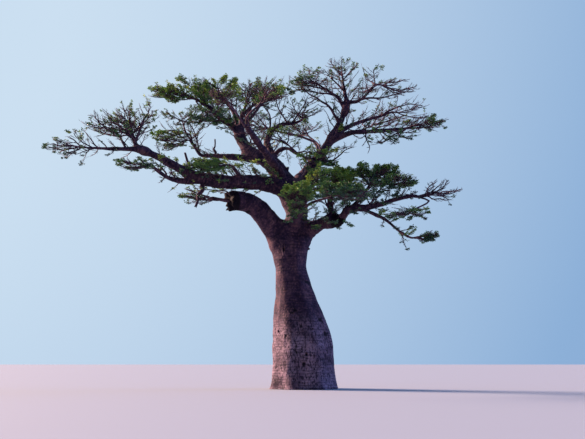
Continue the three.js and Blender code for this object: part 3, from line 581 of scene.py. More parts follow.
def turned(aside: Array, upward: Array, angle: Array) -> Array:
    """Unit directions at angles round an axis, out of two directions across it."""
    return np.cos(angle)[..., None] * aside[..., None, :] + np.sin(angle)[..., None] * upward[..., None, :]


def taper(root: Array, tip: Array, share: Array) -> Array:
    """A radius that falls a little faster near the root."""
    return root + (tip - root) * share**TAPER_POWER


# Meshes.


@dataclass
class Shape:
    """Corners and faces of a mesh, with values that its corners carry."""

    corners: Array
    quads: Array
    triangles: Array
    values: dict[str, Array] = field(default_factory=dict)

    @property
    def count(self) -> int:
        """How many triangles the mesh has."""
        return 2 * len(self.quads) + len(self.triangles)

    def made(self, name: str, smooth: bool) -> bpy.types.Object:
        """Makes the mesh and its object, at the origin.

        Args:
            name: the piece's name.
            smooth: whether its faces are shaded smooth.

        Returns:
            The object, linked to the scene.
        """
        mesh = bpy.data.meshes.new(name)
        mesh.vertices.add(len(self.corners))
        mesh.vertices.foreach_set("co", self.corners.astype(np.float32).ravel())
        loops = np.concatenate([self.quads.ravel(), self.triangles.ravel()]).astype(np.int32)
        mesh.loops.add(len(loops))
        mesh.loops.foreach_set("vertex_index", loops)
        starts = np.concatenate([
            4 * np.arange(len(self.quads)),
            4 * len(self.quads) + 3 * np.arange(len(self.triangles)),
        ]).astype(np.int32)
        mesh.polygons.add(len(starts))
        mesh.polygons.foreach_set("loop_start", starts)
        mesh.polygons.foreach_set("use_smooth", np.full(len(starts), smooth))
        for label, value in self.values.items():
            kind = "FLOAT_VECTOR" if value.ndim == 2 else "FLOAT"
            layer = mesh.attributes.new(label, kind, "POINT")
            layer.data.foreach_set("vector" if value.ndim == 2 else "value", value.astype(np.float32).ravel())
        mesh.update(calc_edges=True)
        mesh.validate()
        piece = bpy.data.objects.new(name, mesh)
        bpy.context.scene.collection.objects.link(piece)
        return piece


def joined(shapes: list[Shape]) -> Shape:
    """One shape that holds several.

    Args:
        shapes: the shapes, all with the same values.

    Returns:
        The joined shape.
    """
    starts = np.cumsum([0] + [len(shape.corners) for shape in shapes[:-1]])
    return Shape(
        np.concatenate([shape.corners for shape in shapes]),
        np.concatenate([shape.quads + start for shape, start in zip(shapes, starts)]),
        np.concatenate([shape.triangles + start for shape, start in zip(shapes, starts)]),
        {label: np.concatenate([shape.values[label] for shape in shapes]) for label in shapes[0].values},
    )


def placed(
    shape: Shape, name: str, material: Material, nodes: list[str], smooth: bool,
) -> None:
    """Makes a piece and puts it in the place of its nodes.

    Args:
        shape: its mesh.
        name: its name.
        material: its finish.
        nodes: the nodes that it replaces.
        smooth: whether its faces are shaded smooth.
    """
    piece = shape.made(name, smooth)
    piece.data.materials.append(material)
    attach(piece, "root")
    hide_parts(*nodes)
    log.info("%s: %d triangles", name, shape.count)


def tube_quads(rings: int, sides: int) -> Array:
    """The quads between rings of corners that are numbered ring by ring.

    Args:
        rings: how many rings.
        sides: how many corners each has.

    Returns:
        Four corners for each quad.
    """
    ring, side = np.meshgrid(np.arange(rings - 1), np.arange(sides), indexing="ij")
    following = (side + 1) % sides
    low, high = ring * sides, (ring + 1) * sides
    return np.stack([low + side, low + following, high + following, high + side], axis=-1).reshape(-1, 4)


def end_fans(rings: int, sides: int) -> Array:
    """The triangles that close a skin of rings by fans to two poles, which follow the rings' corners.

    Args:
        rings: how many rings.
        sides: how many corners each has.

    Returns:
        Three corners for each triangle, those of the root first.
    """
    side = np.arange(sides)
    after, last, root = (side + 1) % sides, (rings - 1) * sides, rings * sides
    bottom = np.stack([np.full(sides, root), after, side], axis=1)
    return np.concatenate([bottom, np.stack([np.full(sides, root + 1), last + side, last + after], axis=1)])


def twig_tubes(centres: Array, radii: Array, sides: int) -> Shape:
    """Many thin tubes at once: rings of corners round each row of centres, drawn to a point at its tip.

    Args:
        centres: a row of points for each twig, from root to tip.
        radii: the radius at each point; the last one isn't used.
        sides: corners in each ring.

    Returns:
        The shape of all tubes.
    """
    count, rings = radii.shape[0], radii.shape[1] - 1
    along = unit(np.gradient(centres, axis=1))
    steep = np.abs(along[:, :1] @ UP)[..., None] > STEEP
    aside = unit(np.cross(along, np.where(steep, ACROSS, UP)))
    turn = turned(aside[:, :-1], np.cross(along, aside)[:, :-1], even_angles(sides))
    ringed = centres[:, :-1, None] + radii[:, :-1, None, None] * turn
    corners = np.concatenate([ringed.reshape(count, -1, 3), centres[:, -1:]], axis=1)
    each = rings * sides + 1
    start = (np.arange(count) * each)[:, None, None]
    side, last = np.arange(sides), (rings - 1) * sides
    point = np.stack([np.full(sides, each - 1), last + side, last + (side + 1) % sides], axis=1)
    cap = np.stack([np.zeros(sides - 2, int), side[2:], side[1:-1]], axis=1)
    quads, ends = tube_quads(rings, sides) + start, np.concatenate([point, cap]) + start
    return Shape(corners.reshape(-1, 3), quads.reshape(-1, 4), ends.reshape(-1, 3))


# Trunk and limbs.


class TrunkForm:
    """The trunk's plain form: its middle and its radius at a height."""

    def __init__(self, plan: TrunkPlan) -> None:
        """Takes the trunk's sizes."""
        self.name = "trunk"
        self.plan = plan
        self.top = plan.top * MM

    def middle(self, z: Array) -> Array:
        """The sideways place of the trunk's middle at a height: it leans along an S-curve."""
        plan = self.plan
        return plan.lean * MM * smooth_step(plan.lean_start * MM, plan.fork_height * MM, z)

    def radius(self, z: Array, angle: Array) -> Array:
        """The trunk's radius: a cosine from belly to waist, plus the fork, the root flare and the flutes.

        Args:
            z: height in metres.
            angle: direction from the middle, in radians from +X.

        Returns:
            The radius in metres.
        """
        plan, height = self.plan, z / MM
        rise = np.clip((height - plan.belly_top) / (plan.waist_height - plan.belly_top), 0, 1)
        belly = (plan.belly_radius - plan.waist_radius) * 0.5 * (1 + np.cos(math.pi * rise))
        towards = plan.fork_narrowness + (1 - plan.fork_narrowness) * np.cos(angle) ** 2
        swell = smooth_step(plan.waist_height, plan.fork_height, height)
        fork = (plan.fork_radius - plan.waist_radius) * towards * swell
        flare = plan.flare * np.exp(-height / plan.flare_height)
        flare = flare * (1 + plan.flute_share * np.cos(plan.flutes * angle + 1))
        turn = plan.flutes * angle + 1 + height / plan.flute_twist
        flutes = plan.flute_depth * (1 - height / plan.top) * np.cos(turn)
        crown = np.maximum(0, (height - plan.fork_height) / (plan.top - plan.fork_height))
        narrowing = np.sqrt(np.maximum(plan.crown_least, 1 - plan.crown_drop * crown**2))
        return MM * (plan.waist_radius + belly + fork + flare + flutes) * narrowing

    def distance(self, place: Array) -> Array:
        """How far points lie outside the surface, measured level, or from the top where they are above it.

        Args:
            place: points.

        Returns:
            A distance for each, less than nothing inside.
        """
        x, y, z = place[..., 0], place[..., 1], place[..., 2]
        low = np.clip(z, 0, self.top)
        aside = x - self.middle(low)
        level = np.hypot(aside, y) - self.radius(low, np.arctan2(y, aside))
        over = np.maximum(z - self.top, 0)
        return np.where(over > 0, np.hypot(np.maximum(level, 0), over), level)


class LimbForm:
    """A limb's plain form: a curve with a radius that tapers along it."""

    SAMPLES = 48

    def __init__(self, plan: LimbPlan, root: Array) -> None:
        """Lays the curve from its root through the plan's bends."""
        self.name = plan.name
        self.root, self.tip = plan.root * MM, plan.tip * MM
        self.curve = Curves(np.vstack([root, np.array(plan.bends) * CM])[None])
        share = np.linspace(0, 1, self.SAMPLES)
        self.line = self.curve.at(share[None])[0]
        self.girth = taper(self.root, self.tip, share)

    @property
    def length(self) -> float:
        """The limb's length."""
        return float(self.curve.length[0])

    def point(self, share: float) -> Array:
        """The point at a share of the length."""
        return self.curve.at(np.array([[share]]))[0, 0]

    def direction(self, share: float) -> Array:
        """The heading at a share of the length."""
        return self.curve.heading(np.array([[share]]))[0, 0]

    def distance(self, place: Array) -> Array:
        """How far points lie outside the nearest of the tapering stretches between the curve's samples.

        Args:
            place: points.

        Returns:
            A distance for each, less than nothing inside.
        """
        least = np.full(place.shape[:-1], np.inf)
        for a, b, thick, thin in zip(self.line[:-1], self.line[1:], self.girth[:-1], self.girth[1:]):
            step = b - a
            share = np.clip((place - a) @ step / (step @ step), 0, 1)
            gap = np.linalg.norm(place - a - share[..., None] * step, axis=-1)
            least = np.minimum(least, gap - thick - (thin - thick) * share)
        return least


Bough = TrunkForm | LimbForm


@dataclass(frozen=True)
class BarkRelief:
    """Heights and widths of the bark's relief, in metres: a soft smooth skin over thick fibre."""

    lump_width: float = 1.3
    lump_height: float = 0.055
    bulge_width: float = 0.45
    bulge_height: float = 0.02
    knob_width: float = 0.42
    knob_share: float = 0.16
    knob_most: float = 0.05
    bump_width: float = 0.16
    bump_height: float = 0.022
    fold_width: float = 0.5
    fold_length: float = 2.6
    fold_height: float = 0.016
    wrinkle_spacing: float = 0.14
    wrinkle_depth: float = 0.02
    wrinkle_bend: float = 0.9
    wrinkle_thinness: int = 5
    wrinkle_patches: tuple[float, float] = (-0.25, 0.45)
    pit_spacing: float = 0.4
    pit_depth: float = 0.02
    pit_window: tuple[float, float] = (0.72, 1.0)
    grain: float = 0.005
    grain_width: float = 0.07
    full_girth: float = 0.8
    slim_girth: float = 0.45
    least: float = 0.12

    def height(self, place: Array, skin: Array, girth: Array, free: Array) -> tuple[Array, Array]:
        """The relief at points of a bough's surface.

        Lumps, bulges and knobs are noise in space. Folds are noise drawn out along the bough, wrinkles are
        creases across it whose phase noise bends, and pits are where a sparse noise is highest.

        Args:
            place: points in space.
            skin: the same points as (cos, sin, length) of the bough, in metres.
            girth: the bough's radius there.
            free: 0 where another bough's skin meets this one, 1 away from it; there folds and wrinkles die out.

        Returns:
            The height outwards, and a share from 0 to 1 of how deep in a crease or pit a point lies, which the
            bark darkens as painted shade.
        """
        strength = np.clip(girth / self.full_girth, self.least, 1.0)
        lumps = self.lump_height * smooth_noise(place / self.lump_width, 11)
        bulges = self.bulge_height * smooth_noise(place / self.bulge_width, 12)
        knobs = np.minimum(self.knob_share * girth, self.knob_most) * smooth_noise(place / self.knob_width, 20)
        drawn = skin / np.array([self.fold_width, self.fold_width, self.fold_length])
        folds = self.fold_height * (1 - 2 * np.abs(smooth_noise(drawn, 13)))
        bend = smooth_noise(skin / np.array([0.9, 0.9, 0.5]), 14) + 0.5 * smooth_noise(skin / 0.3, 15)
        phase = skin[..., 2] / self.wrinkle_spacing + self.wrinkle_bend * bend
        crease = (1 - np.abs(np.sin(math.pi * phase))) ** self.wrinkle_thinness
        patch = smooth_step(*self.wrinkle_patches, smooth_noise(skin / np.array([0.55, 0.55, 0.45]), 16))
        wrinkles = crease * patch * free
        sparse = smooth_noise(skin / self.pit_spacing, 17) + 0.35 * smooth_noise(skin / 0.17, 18)
        pits = smooth_step(*self.pit_window, sparse) * free
        grain = self.grain * smooth_noise(place / self.grain_width, 19)
        slim = smooth_step(0.85, self.slim_girth, girth)
        bumps = self.bump_height * np.minimum(girth / 0.2, slim) * smooth_noise(place / self.bump_width, 21)
        knobs = knobs * (0.35 + 0.65 * slim) + bumps
        lengthwise = folds * free - self.wrinkle_depth * wrinkles - self.pit_depth * pits
        height = strength * lengthwise + np.clip(girth / self.full_girth, self.least, 0.85) * (lumps + bulges)
        return height + knobs + grain * strength, np.clip(0.6 * wrinkles + pits, 0, 1)


class Skin:
    """The skin of a trunk or limb: rings of corners from root to tip, a plain form that relief is laid on."""

    SINK = 0.035  # metres by which a skin dips where a neighbour's covers it
    TUCK = 0.4  # share by which the first ring is drawn in
    PASSES = 7  # steps that bring a corner to the surface wanted
    STEP = 0.8  # of the distance left, in each

    def __init__(self, rings: Array, girth: Array, along: Array, angle: Array) -> None:
        """Takes the rings.

        Args:
            rings: corners, ring by ring.
            girth: radius of each corner.
            along: each ring's place along the bough, in metres.
            angle: each corner's angle round the bough.
        """
        self.rings = rings
        self.girth = girth
        self.free = np.ones(girth.shape)
        self.under = np.zeros(girth.shape)
        self.around = np.stack([
            girth * np.cos(angle),
            girth * np.sin(angle),
            np.broadcast_to(along[:, None], girth.shape),
        ], axis=-1)

    def normals(self) -> Array:
        """Outward directions, from differences round and along the rings."""
        across = np.roll(self.rings, -1, axis=1) - np.roll(self.rings, 1, axis=1)
        return unit(np.cross(across, np.gradient(self.rings, axis=0)))

    def melt_into(self, own: Bough, others: list[Bough], softness: float) -> None:
        """Draws the skin out to meet its neighbours, as webs in a fork.

        The surface wanted is where the smooth least of all distances is zero: near a neighbour that is a little
        outside the plain skin. Corners move along their outward direction; those well inside a neighbour stay.

        Args:
            own: the form that the skin belongs to.
            others: the neighbours.
            softness: the distance over which two surfaces run together.
        """
        outward = self.normals()
        near = np.stack([other.distance(self.rings) for other in others])
        self.free = smooth_step(-0.1 * softness, 0.7 * softness, near.min(axis=0))
        hidden = smooth_step(-1.2 * softness, -0.2 * softness, near.min(axis=0))
        touched = (near < softness).any(axis=0) & (hidden > 0)
        place, push = self.rings[touched], outward[touched]
        for _ in range(self.PASSES):
            least = own.distance(place)
            for other in others:
                gap = other.distance(place)
                mix = np.clip(0.5 + 0.5 * (gap - least) / softness, 0, 1)
                least = gap + (least - gap) * mix - softness * mix * (1 - mix)
            step = np.clip(-least, 0, 0.3 * softness) * hidden[touched]
            place = place + self.STEP * step[:, None] * push
        self.rings[touched] = place
        nearer = own.distance(self.rings) - np.min([other.distance(self.rings) for other in others], axis=0)
        self.under = smooth_step(0, 0.3 * softness, nearer)

    def roughen(self, relief: BarkRelief, calm: Array) -> Array:
        """Lays the relief on.

        Args:
            relief: its sizes.
            calm: a share for each ring, 0 where the skin must keep its plain form.

        Returns:
            How deep in a crease each corner lies, which the bark darkens as painted shade.
        """
        height, depth = relief.height(self.rings, self.around, self.girth, self.free)
        self.rings = self.rings + self.normals() * (height * calm[:, None] - self.SINK * self.under)[..., None]
        return depth * calm[:, None]

    def tuck(self, reach: float) -> None:
        """Draws the first rings in towards their middles, so that their edge stays under the parent's skin.

        Args:
            reach: how far along the bough this fades out, in metres.
        """
        share = 1 - self.TUCK * (1 - smooth_step(0, reach, self.around[:, 0, 2]))
        middle = self.rings.mean(axis=1, keepdims=True)
        self.rings = middle + (self.rings - middle) * share[:, None, None]

    def scarred(self, depth: Array, scars: tuple[Scar, ...]) -> Array:
        """Sinks scars into a trunk's skin: a round-bottomed hollow inside an ellipse, and a low rim round it.

        Args:
            depth: how deep in a crease each corner lies.
            scars: the scars.

        Returns:
            The same with the scars' hollows darkened as painted shade.
        """
        outward = self.normals()
        angle = np.arctan2(self.around[..., 1], self.around[..., 0])
        for scar in scars:
            turn = (angle - scar.angle + math.pi) % (2 * math.pi) - math.pi
            up = (self.around[..., 2] - scar.height) / scar.half_height
            far = np.hypot(turn * self.girth / scar.half_width, up)
            hollow = smooth_step(1.0, 0.35, far)
            rim = np.exp(-(((far - 1.35) / 0.35) ** 2))
            self.rings = self.rings + outward * (scar.rim * rim - scar.depth * hollow)[..., None]
            # painted shade: a scar's hollow counts as deep in a crease, so the bark darkens it
            depth = np.maximum(depth, hollow)
        return depth

    def shape(self, depth: Array) -> Shape:
        """The closed shape, with the values that its finish reads.

        Args:
            depth: how deep in a crease each corner lies.

        Returns:
            The shape.
        """
        quads, ends = tube_quads(*self.rings.shape[:2]), end_fans(*self.rings.shape[:2])
        poles = self.rings[[0, -1]].mean(axis=1)
        corners = np.concatenate([self.rings.reshape(-1, 3), poles])
        around = np.concatenate([self.around.reshape(-1, 3), self.around[0, :1], self.around[-1, :1]])
        crease = np.concatenate([depth.ravel(), [depth[0].mean(), depth[-1].mean()]])
        return Shape(corners, quads, ends, {"skin": around, "crease": crease})


class Woodwork:
    """Trunk and limbs: their plain forms, and the skins with the bark's relief that replace the solids."""

    RELIEF = BarkRelief()
    TRUNK_SIDES = 380
    TRUNK_RINGS = 240
    TRUNK_SOFTNESS = 0.5  # metres over which the trunk and its boughs run together
    SPUR_RINGS = 22
    SPUR_SIDES = 14
    BRANCH_STEP = 0.22  # metres between a branch's rings
    ROUNDING = 6  # rings of a limb's rounded tip
    TORN_DEPTH = 0.35  # of a broken tip's radius, along the limb
    TORN_WIDTH = 0.15  # and sideways
    TORN_RINGS = 9  # rings darkened as painted shade at a broken end

    def __init__(self) -> None:
        """Lays out all forms."""
        self.trunk = TrunkForm(TrunkPlan())
        self.limbs: dict[str, LimbForm] = {}
        for plan in LIMBS:
            if plan.parent == "trunk":
                height = plan.at * MM
                root = np.array([float(self.trunk.middle(np.array(height))), 0.0, height])
            else:
                root = self.limbs[plan.parent].point(plan.at)
            self.limbs[plan.name] = LimbForm(plan, root)
        self.branches = {plan.name: LimbForm(plan, self.limbs[plan.parent].point(plan.at)) for plan in BRANCHES}

    def branch_shape(self, form: LimbForm) -> Shape:
        """A branch: a thin crooked tube that ends in a point.

        Args:
            form: the branch's plain form.

        Returns:
            The tube.
        """
        share = np.linspace(0, 1, 6 + int(form.length / self.BRANCH_STEP))
        centres = form.curve.at(share[None])[0]
        number = float(list(self.branches).index(form.name))
        crook = noise_vectors((centres[:, 2] / 0.5, centres[:, 0] / 0.5, number), 7, 33)
        centres = centres + 0.07 * (np.minimum(4 * share, 1))[:, None] * crook
        return twig_tubes(centres[None], taper(form.root, form.tip, share)[None], 6)

    def neighbours(self, name: str) -> list[Bough]:
        """The boughs that a limb's skin meets: its parent, its children, and its parent's other children.

        Args:
            name: the limb.

        Returns:
            Their forms.
        """
        plans = {plan.name: plan for plan in LIMBS}
        parent = plans[name].parent
        related = {parent} | {plan.name for plan in LIMBS if plan.parent in (name, parent)}
        forms = [self.limbs[other] for other in sorted(related - {name, "trunk"})]
        return forms + [self.trunk] if parent == "trunk" else forms

    def trunk_skin(self) -> Skin:
        """The trunk: rings from the flat cut at the ground to its top among the boughs.

        Returns:
            The skin.
        """
        z = np.linspace(0, self.trunk.top, self.TRUNK_RINGS)
        angle = even_angles(self.TRUNK_SIDES)
        radius = self.trunk.radius(z[:, None], angle[None])
        middle = self.trunk.middle(z)[:, None]
        level = np.broadcast_to(z[:, None], radius.shape)
        rings = np.stack([middle + radius * np.cos(angle), radius * np.sin(angle), level], axis=-1)
        return Skin(rings, radius, z, np.broadcast_to(angle, radius.shape))

    def tube_skin(self, centres: Array, radius: Array, heading: Array, aside: Array, sides: int) -> Skin:
        """The skin of a tube: rings across a row of centres.

        Args:
            centres: the middles of the rings.
            radius: the radius at each.
            heading: the direction of the tube at each.
            aside: a direction across it at each.
            sides: corners in a ring.

        Returns:
            The skin.
        """
        angle = even_angles(sides)
        rings = centres[:, None] + radius[:, None, None] * turned(aside, np.cross(heading, aside), angle)
        along = np.concatenate([[0], np.cumsum(np.linalg.norm(np.diff(centres, axis=0), axis=1))])
        girth = np.broadcast_to(np.maximum(radius, 0.02)[:, None], rings.shape[:2])
        return Skin(rings, girth, along, np.broadcast_to(angle, rings.shape[:2]))

    def limb_skin(self, form: LimbForm) -> Skin:
        """A limb: rings along its curve, turned as little as possible from one to the next, with a rounded tip.

        Args:
            form: the limb's plain form.

        Returns:
            The skin.
        """
        sides = int(np.clip(form.root * 130, 14, 72))
        step = float(np.clip(form.root * 0.16, 0.03, 0.08))
        share = np.linspace(0, 1, int(form.length / step))
        centres = form.curve.at(share[None])[0]
        heading = form.curve.heading(share[None])[0]
        lift = np.sin(np.linspace(0, math.pi / 2, self.ROUNDING + 1)[1:-1])
        rise = 0.22 if form.name in BROKEN else 0.6
        centres = np.vstack([centres, centres[-1] + rise * form.tip * lift[:, None] * heading[-1]])
        heading = np.vstack([heading, np.repeat(heading[-1:], self.ROUNDING - 1, axis=0)])
        radius = np.concatenate([taper(form.root, form.tip, share), form.tip * np.sqrt(1 - lift**2)])
        aside = np.zeros_like(heading)
        aside[0] = unit(np.cross(heading[0], UP if abs(heading[0, 2]) < 0.9 else ACROSS))
        for i in range(1, len(heading)):
            aside[i] = unit(aside[i - 1] - heading[i] * (aside[i - 1] @ heading[i]))
        skin = self.tube_skin(centres, radius, heading, aside, sides)
        if form.name in BROKEN:
            last = skin.rings[-self.ROUNDING :]
            end = last - centres[-self.ROUNDING]
            torn = smooth_noise(last / (0.4 * form.tip), 34)[..., None]
            last += self.TORN_DEPTH * form.tip * torn * heading[-1] + self.TORN_WIDTH * torn * end
        return skin

    def spur_shape(self, plan: SpurPlan, number: int) -> Shape:
        """A dead spur: a short crooked limb with a ragged end.

        Args:
            plan: the spur's sizes.
            number: its place in the table, which chooses its noise.

        Returns:
            The spur's closed shape.
        """
        root, end = self.limbs[plan.limb].point(plan.at), np.array(plan.end) * MM
        reach = np.linalg.norm(end - root)
        share = np.linspace(0, 1, self.SPUR_RINGS)
        crook = 0.09 * reach * smooth_step(0, 0.3, share) * np.sin(math.pi * share)
        wander = smooth_noise(np.stack([5 * share, 0 * share, 0 * share + number], axis=1), 31)
        aside = unit(np.cross(end - root, UP))
        centres = root + share[:, None] * (end - root) + (crook * wander)[:, None] * aside
        heading = unit(np.gradient(centres, axis=0))
        aside, radius = unit(np.cross(heading, ACROSS)), taper(plan.root * MM, plan.tip * MM, share)
        skin = self.tube_skin(centres, radius, heading, aside, self.SPUR_SIDES)
        skin.around[..., 2] = (share * reach)[:, None]
        angle = even_angles(self.SPUR_SIDES)
        ragged = smooth_noise(np.stack([2 * np.cos(angle), 2 * np.sin(angle), 0 * angle + number], axis=1), 32)
        skin.rings[-1] += (0.07 * ragged)[:, None] * heading[-1]
        return skin.shape(skin.roughen(self.RELIEF, np.ones(len(centres))))

    def build(self, finish: "BaobabBark") -> None:
        """Makes the skins of trunk and limbs, and dresses them.

        Args:
            finish: the bark.
        """
        bark = finish.material()
        skin = self.trunk_skin()
        boughs = [self.limbs[plan.name] for plan in LIMBS if plan.parent == "trunk"]
        skin.melt_into(self.trunk, boughs, self.TRUNK_SOFTNESS)
        calm = smooth_step(0, 0.05, skin.around[:, 0, 2])
        shape = skin.shape(skin.scarred(skin.roughen(self.RELIEF, calm), SCARS))
        placed(shape, "trunk_bark", bark, ["trunk"], smooth=True)
        for name, form in self.limbs.items():
            skin = self.limb_skin(form)
            skin.melt_into(form, self.neighbours(name), float(np.clip(0.7 * form.root, 0.12, 0.5)))
            depth = skin.roughen(self.RELIEF, np.ones(len(skin.rings)))
            skin.tuck(0.55 * form.root)
            if name in BROKEN:
                # painted shade: a broken end's last rings take nearly the full crease colour
                depth[-self.TORN_RINGS :] = np.maximum(depth[-self.TORN_RINGS :], 0.95)
            shapes = [skin.shape(depth)]
            shapes += [self.spur_shape(plan, number) for number, plan in enumerate(SPURS) if plan.limb == name]
            placed(joined(shapes), f"{name}_bark", bark, [name], smooth=True)

# Growth of the crown.


@dataclass
class Twigs:
    """Many twigs of one order: three points each, radii, keys, the mass of each, and whether it has leaves."""

    points: Array
    thick: Array
    thin: Array
    key: Array
    mass: Array
    leafy: Array

    def kept(self, choice: Array) -> "Twigs":
        """The twigs that a choice keeps."""
        return Twigs(*(getattr(self, part.name)[choice] for part in fields(self)))

    def curves(self) -> Curves:
        """The twigs' curves."""
        return Curves(self.points)

    def tip_heading(self) -> Array:
        """The direction of each twig at its tip."""
        return self.curves().heading(np.ones((len(self.key), 1)))[:, 0]


def merged(groups: list[Twigs]) -> Twigs:
    """Several groups of twigs as one."""
    return Twigs(*(np.concatenate([getattr(group, part.name) for group in groups]) for part in fields(Twigs)))


@dataclass(frozen=True)
class GrowthRule:
    """The rule by which a mass's twigs grow, in metres and shares of a length."""

    hub_depth: float = 0.42
    stem_sink: float = 0.04
    stem_lead: float = 0.3
    stem_turn: float = 0.15
    stem_spread: float = 0.5
    stem_radius_most: float = 0.1
    stem_share_alone: float = 0.8
    stem_share_together: float = 0.42
    rib_radius_share: float = 0.6
    rib_radius_least: float = 0.04
    rib_reach: float = 0.95
    leafy_rib_reach: float = 0.55
    rib_backsweep: float = 1.3
    rib_bow: float = 0.1
    rib_stagger: float = 1.0
    rib_tip: float = 0.024
    side_tip: float = 0.013
    twiglet_tip: float = 0.007
    side_angle: float = 0.85
    side_rise: float = 0.5
    side_sag: float = 0.35
    side_length: float = 0.42
    side_length_start: float = 1.3
    spray_length: float = 1.25
    space_margin: float = 0.02
    clearance: float = 0.025
    ragged: float = 0.26
    ragged_width: float = 0.8
    size_least: float = 0.85
    size_range: float = 0.3
    # Shares of a twig's length that are tried until one fits, and the least for side twigs.
    trials: tuple[float, ...] = (1.0, 0.8, 0.62, 0.45, 0.3)
    side_least: float = 0.45
    # The finest twigs: where they stand along their parent, how long and how far to the side.
    twiglet_places: tuple[float, ...] = tuple(np.linspace(0.14, 0.97, 14))
    twiglet_reach: float = 0.4
    twiglet_length_start: float = 1.18
    twiglet_length_least: float = 0.14
    twiglet_angle: float = 0.7
    twiglet_spread: float = 0.5
    # The places of the source's side twigs, and after them those that only the finer crown has.
    places: tuple[tuple[float, int], ...] = (
        (0.5, 1), (0.58, -1), (0.9, 1),
        (0.3, -1), (0.4, 1), (0.68, 1), (0.76, -1), (0.84, -1), (0.97, -1),
    )


class Crown:
    """The masses of foliage: stems, ribs, side twigs and twiglets."""

    CAPSULES = 8  # along each limb
    BATCH = 4000  # points that are set against all capsules at once

    def __init__(self, woodwork: Woodwork, rule: GrowthRule) -> None:
        """Lays a stem for each mass, from its limb's tip to a hub inside its space.

        Args:
            woodwork: the limbs.
            rule: the rule of growth.
        """
        self.rule = rule
        self.middle = np.array([plan.middle for plan in MASSES]) * CM
        self.half = np.array([plan.half for plan in MASSES]) * CM
        self.sprays = np.array([plan.sprays for plan in MASSES])
        self.leaf = np.array([plan.leaf for plan in MASSES])
        self.key = scramble(np.arange(len(MASSES)) + 1)
        stems = [self._stem(woodwork.limbs[plan.limb], plan, index) for index, plan in enumerate(MASSES)]
        self.stems, self.stem_radius = (np.array(column) for column in zip(*stems))
        self.hub = self.stems[:, 2]
        self.rib_radius = np.maximum(rule.rib_radius_least, rule.rib_radius_share * self.stem_radius)
        self.stem_curves = Curves(self.stems)
        self.capsules = self._capsules(woodwork)

    def _stem(self, limb: LimbForm, plan: MassPlan, index: int) -> tuple[Array, float]:
        """Lays a mass's stem from its limb's tip; where masses share a limb, their stems stand round its axis.

        Args:
            limb: the limb.
            plan: the mass.
            index: its place in the table.

        Returns:
            The stem's three points and its radius.
        """
        rule, middle, half = self.rule, self.middle[index], self.half[index]
        tip, heading = limb.point(1.0), limb.direction(1.0)
        sharers = [i for i, other in enumerate(MASSES) if other.limb == plan.limb]
        aside = self.middle[sharers[0]] - self.middle[sharers].mean(axis=0)
        aside = unit(aside - heading * (aside @ heading))
        angle = 2 * math.pi * sharers.index(index) / len(sharers)
        aside = aside * math.cos(angle) + np.cross(heading, aside) * math.sin(angle)
        alone = len(sharers) == 1
        start = tip + (0 if alone else rule.stem_spread * limb.tip) * aside
        hub = middle + rule.hub_depth * unit((start - middle) / half) * half
        elbow = start + heading * rule.stem_lead * np.linalg.norm(hub - start)
        elbow = elbow + (hub - elbow) * rule.stem_turn
        radius = limb.tip * (rule.stem_share_alone if alone else rule.stem_share_together)
        return np.array([start - heading * rule.stem_sink, elbow, hub]), min(rule.stem_radius_most, radius)

    def _capsules(self, woodwork: Woodwork) -> tuple[Array, Array, Array, Array]:
        """Rows of capsules along every limb, spur and stem.

        Args:
            woodwork: the limbs.

        Returns:
            The start, step and radius of each, and the mass that it is part of, or -1.
        """
        rows: list[tuple[Array, Array, float, int]] = []
        share = np.arange(self.CAPSULES) / self.CAPSULES

        def add(curve: Curves, radius: Array, owner: int) -> None:
            """Adds the capsules of one curve."""
            points = curve.at(np.linspace(0, 1, self.CAPSULES + 1)[None])[0]
            rows.extend((a, b - a, float(r), owner) for a, b, r in zip(points[:-1], points[1:], radius))

        for limb in woodwork.limbs.values():
            add(limb.curve, taper(limb.root, limb.tip, share), -1)
        for plan in SPURS:
            ends = np.array([woodwork.limbs[plan.limb].point(plan.at), np.array(plan.end) * MM])
            add(Curves(ends[None]), 0 * share + plan.root * MM, -1)
        for index, stem in enumerate(self.stems):
            add(Curves(stem[None]), 0 * share + self.stem_radius[index], index)
        return tuple(np.array(column) for column in zip(*rows))

    def reach(self, place: Array) -> Array:
        """How far each point is from each mass's middle, as a share of the mass's half sizes."""
        return np.linalg.norm((place[:, None] - self.middle) / self.half, axis=2)

    def in_own_space(self, place: Array, mass: Array, ragged: float) -> Array:
        """Whether points lie in their mass's space and nearer to its middle than to any other's.

        Args:
            place: points.
            mass: the mass that each belongs to, or -1 for a limb's own twigs, which are free.
            ragged: how far, as a share, noise moves the edge of the space in and out.

        Returns:
            True or False for each point.
        """
        reach = self.reach(place)
        rows = np.arange(len(place))
        own = reach[rows, mass]
        reach[rows, mass] = np.inf
        edge = 1 + ragged * smooth_noise(place / self.rule.ragged_width, 51)
        return (own <= edge) & (reach.min(axis=1) > own + self.rule.space_margin) | (mass < 0)

    def clear_of_limbs(self, place: Array, mass: Array, radius: Array) -> Array:
        """Whether points keep clear of every limb, and of other masses' stems.

        Args:
            place: points.
            mass: the mass that each belongs to.
            radius: the thickness at each point.

        Returns:
            True or False for each point.
        """
        start, step, thickness, owner = self.capsules
        clear = np.empty(len(place), bool)
        for first in range(0, len(place), self.BATCH):
            part = slice(first, first + self.BATCH)
            away = place[part, None] - start
            share = np.clip((away * step).sum(axis=2) / (step * step).sum(axis=1), 0, 1)
            gap = np.linalg.norm(away - share[..., None] * step, axis=2)
            free = gap > radius[part, None] + thickness + self.rule.clearance
            clear[part] = (free | (owner == mass[part, None])).all(axis=1)
        return clear

    def leafiness(self, place: Array) -> Array:
        """How leafy the mass is whose space each point is in or nearest to."""
        return self.leaf[self.reach(place).argmin(axis=1)]

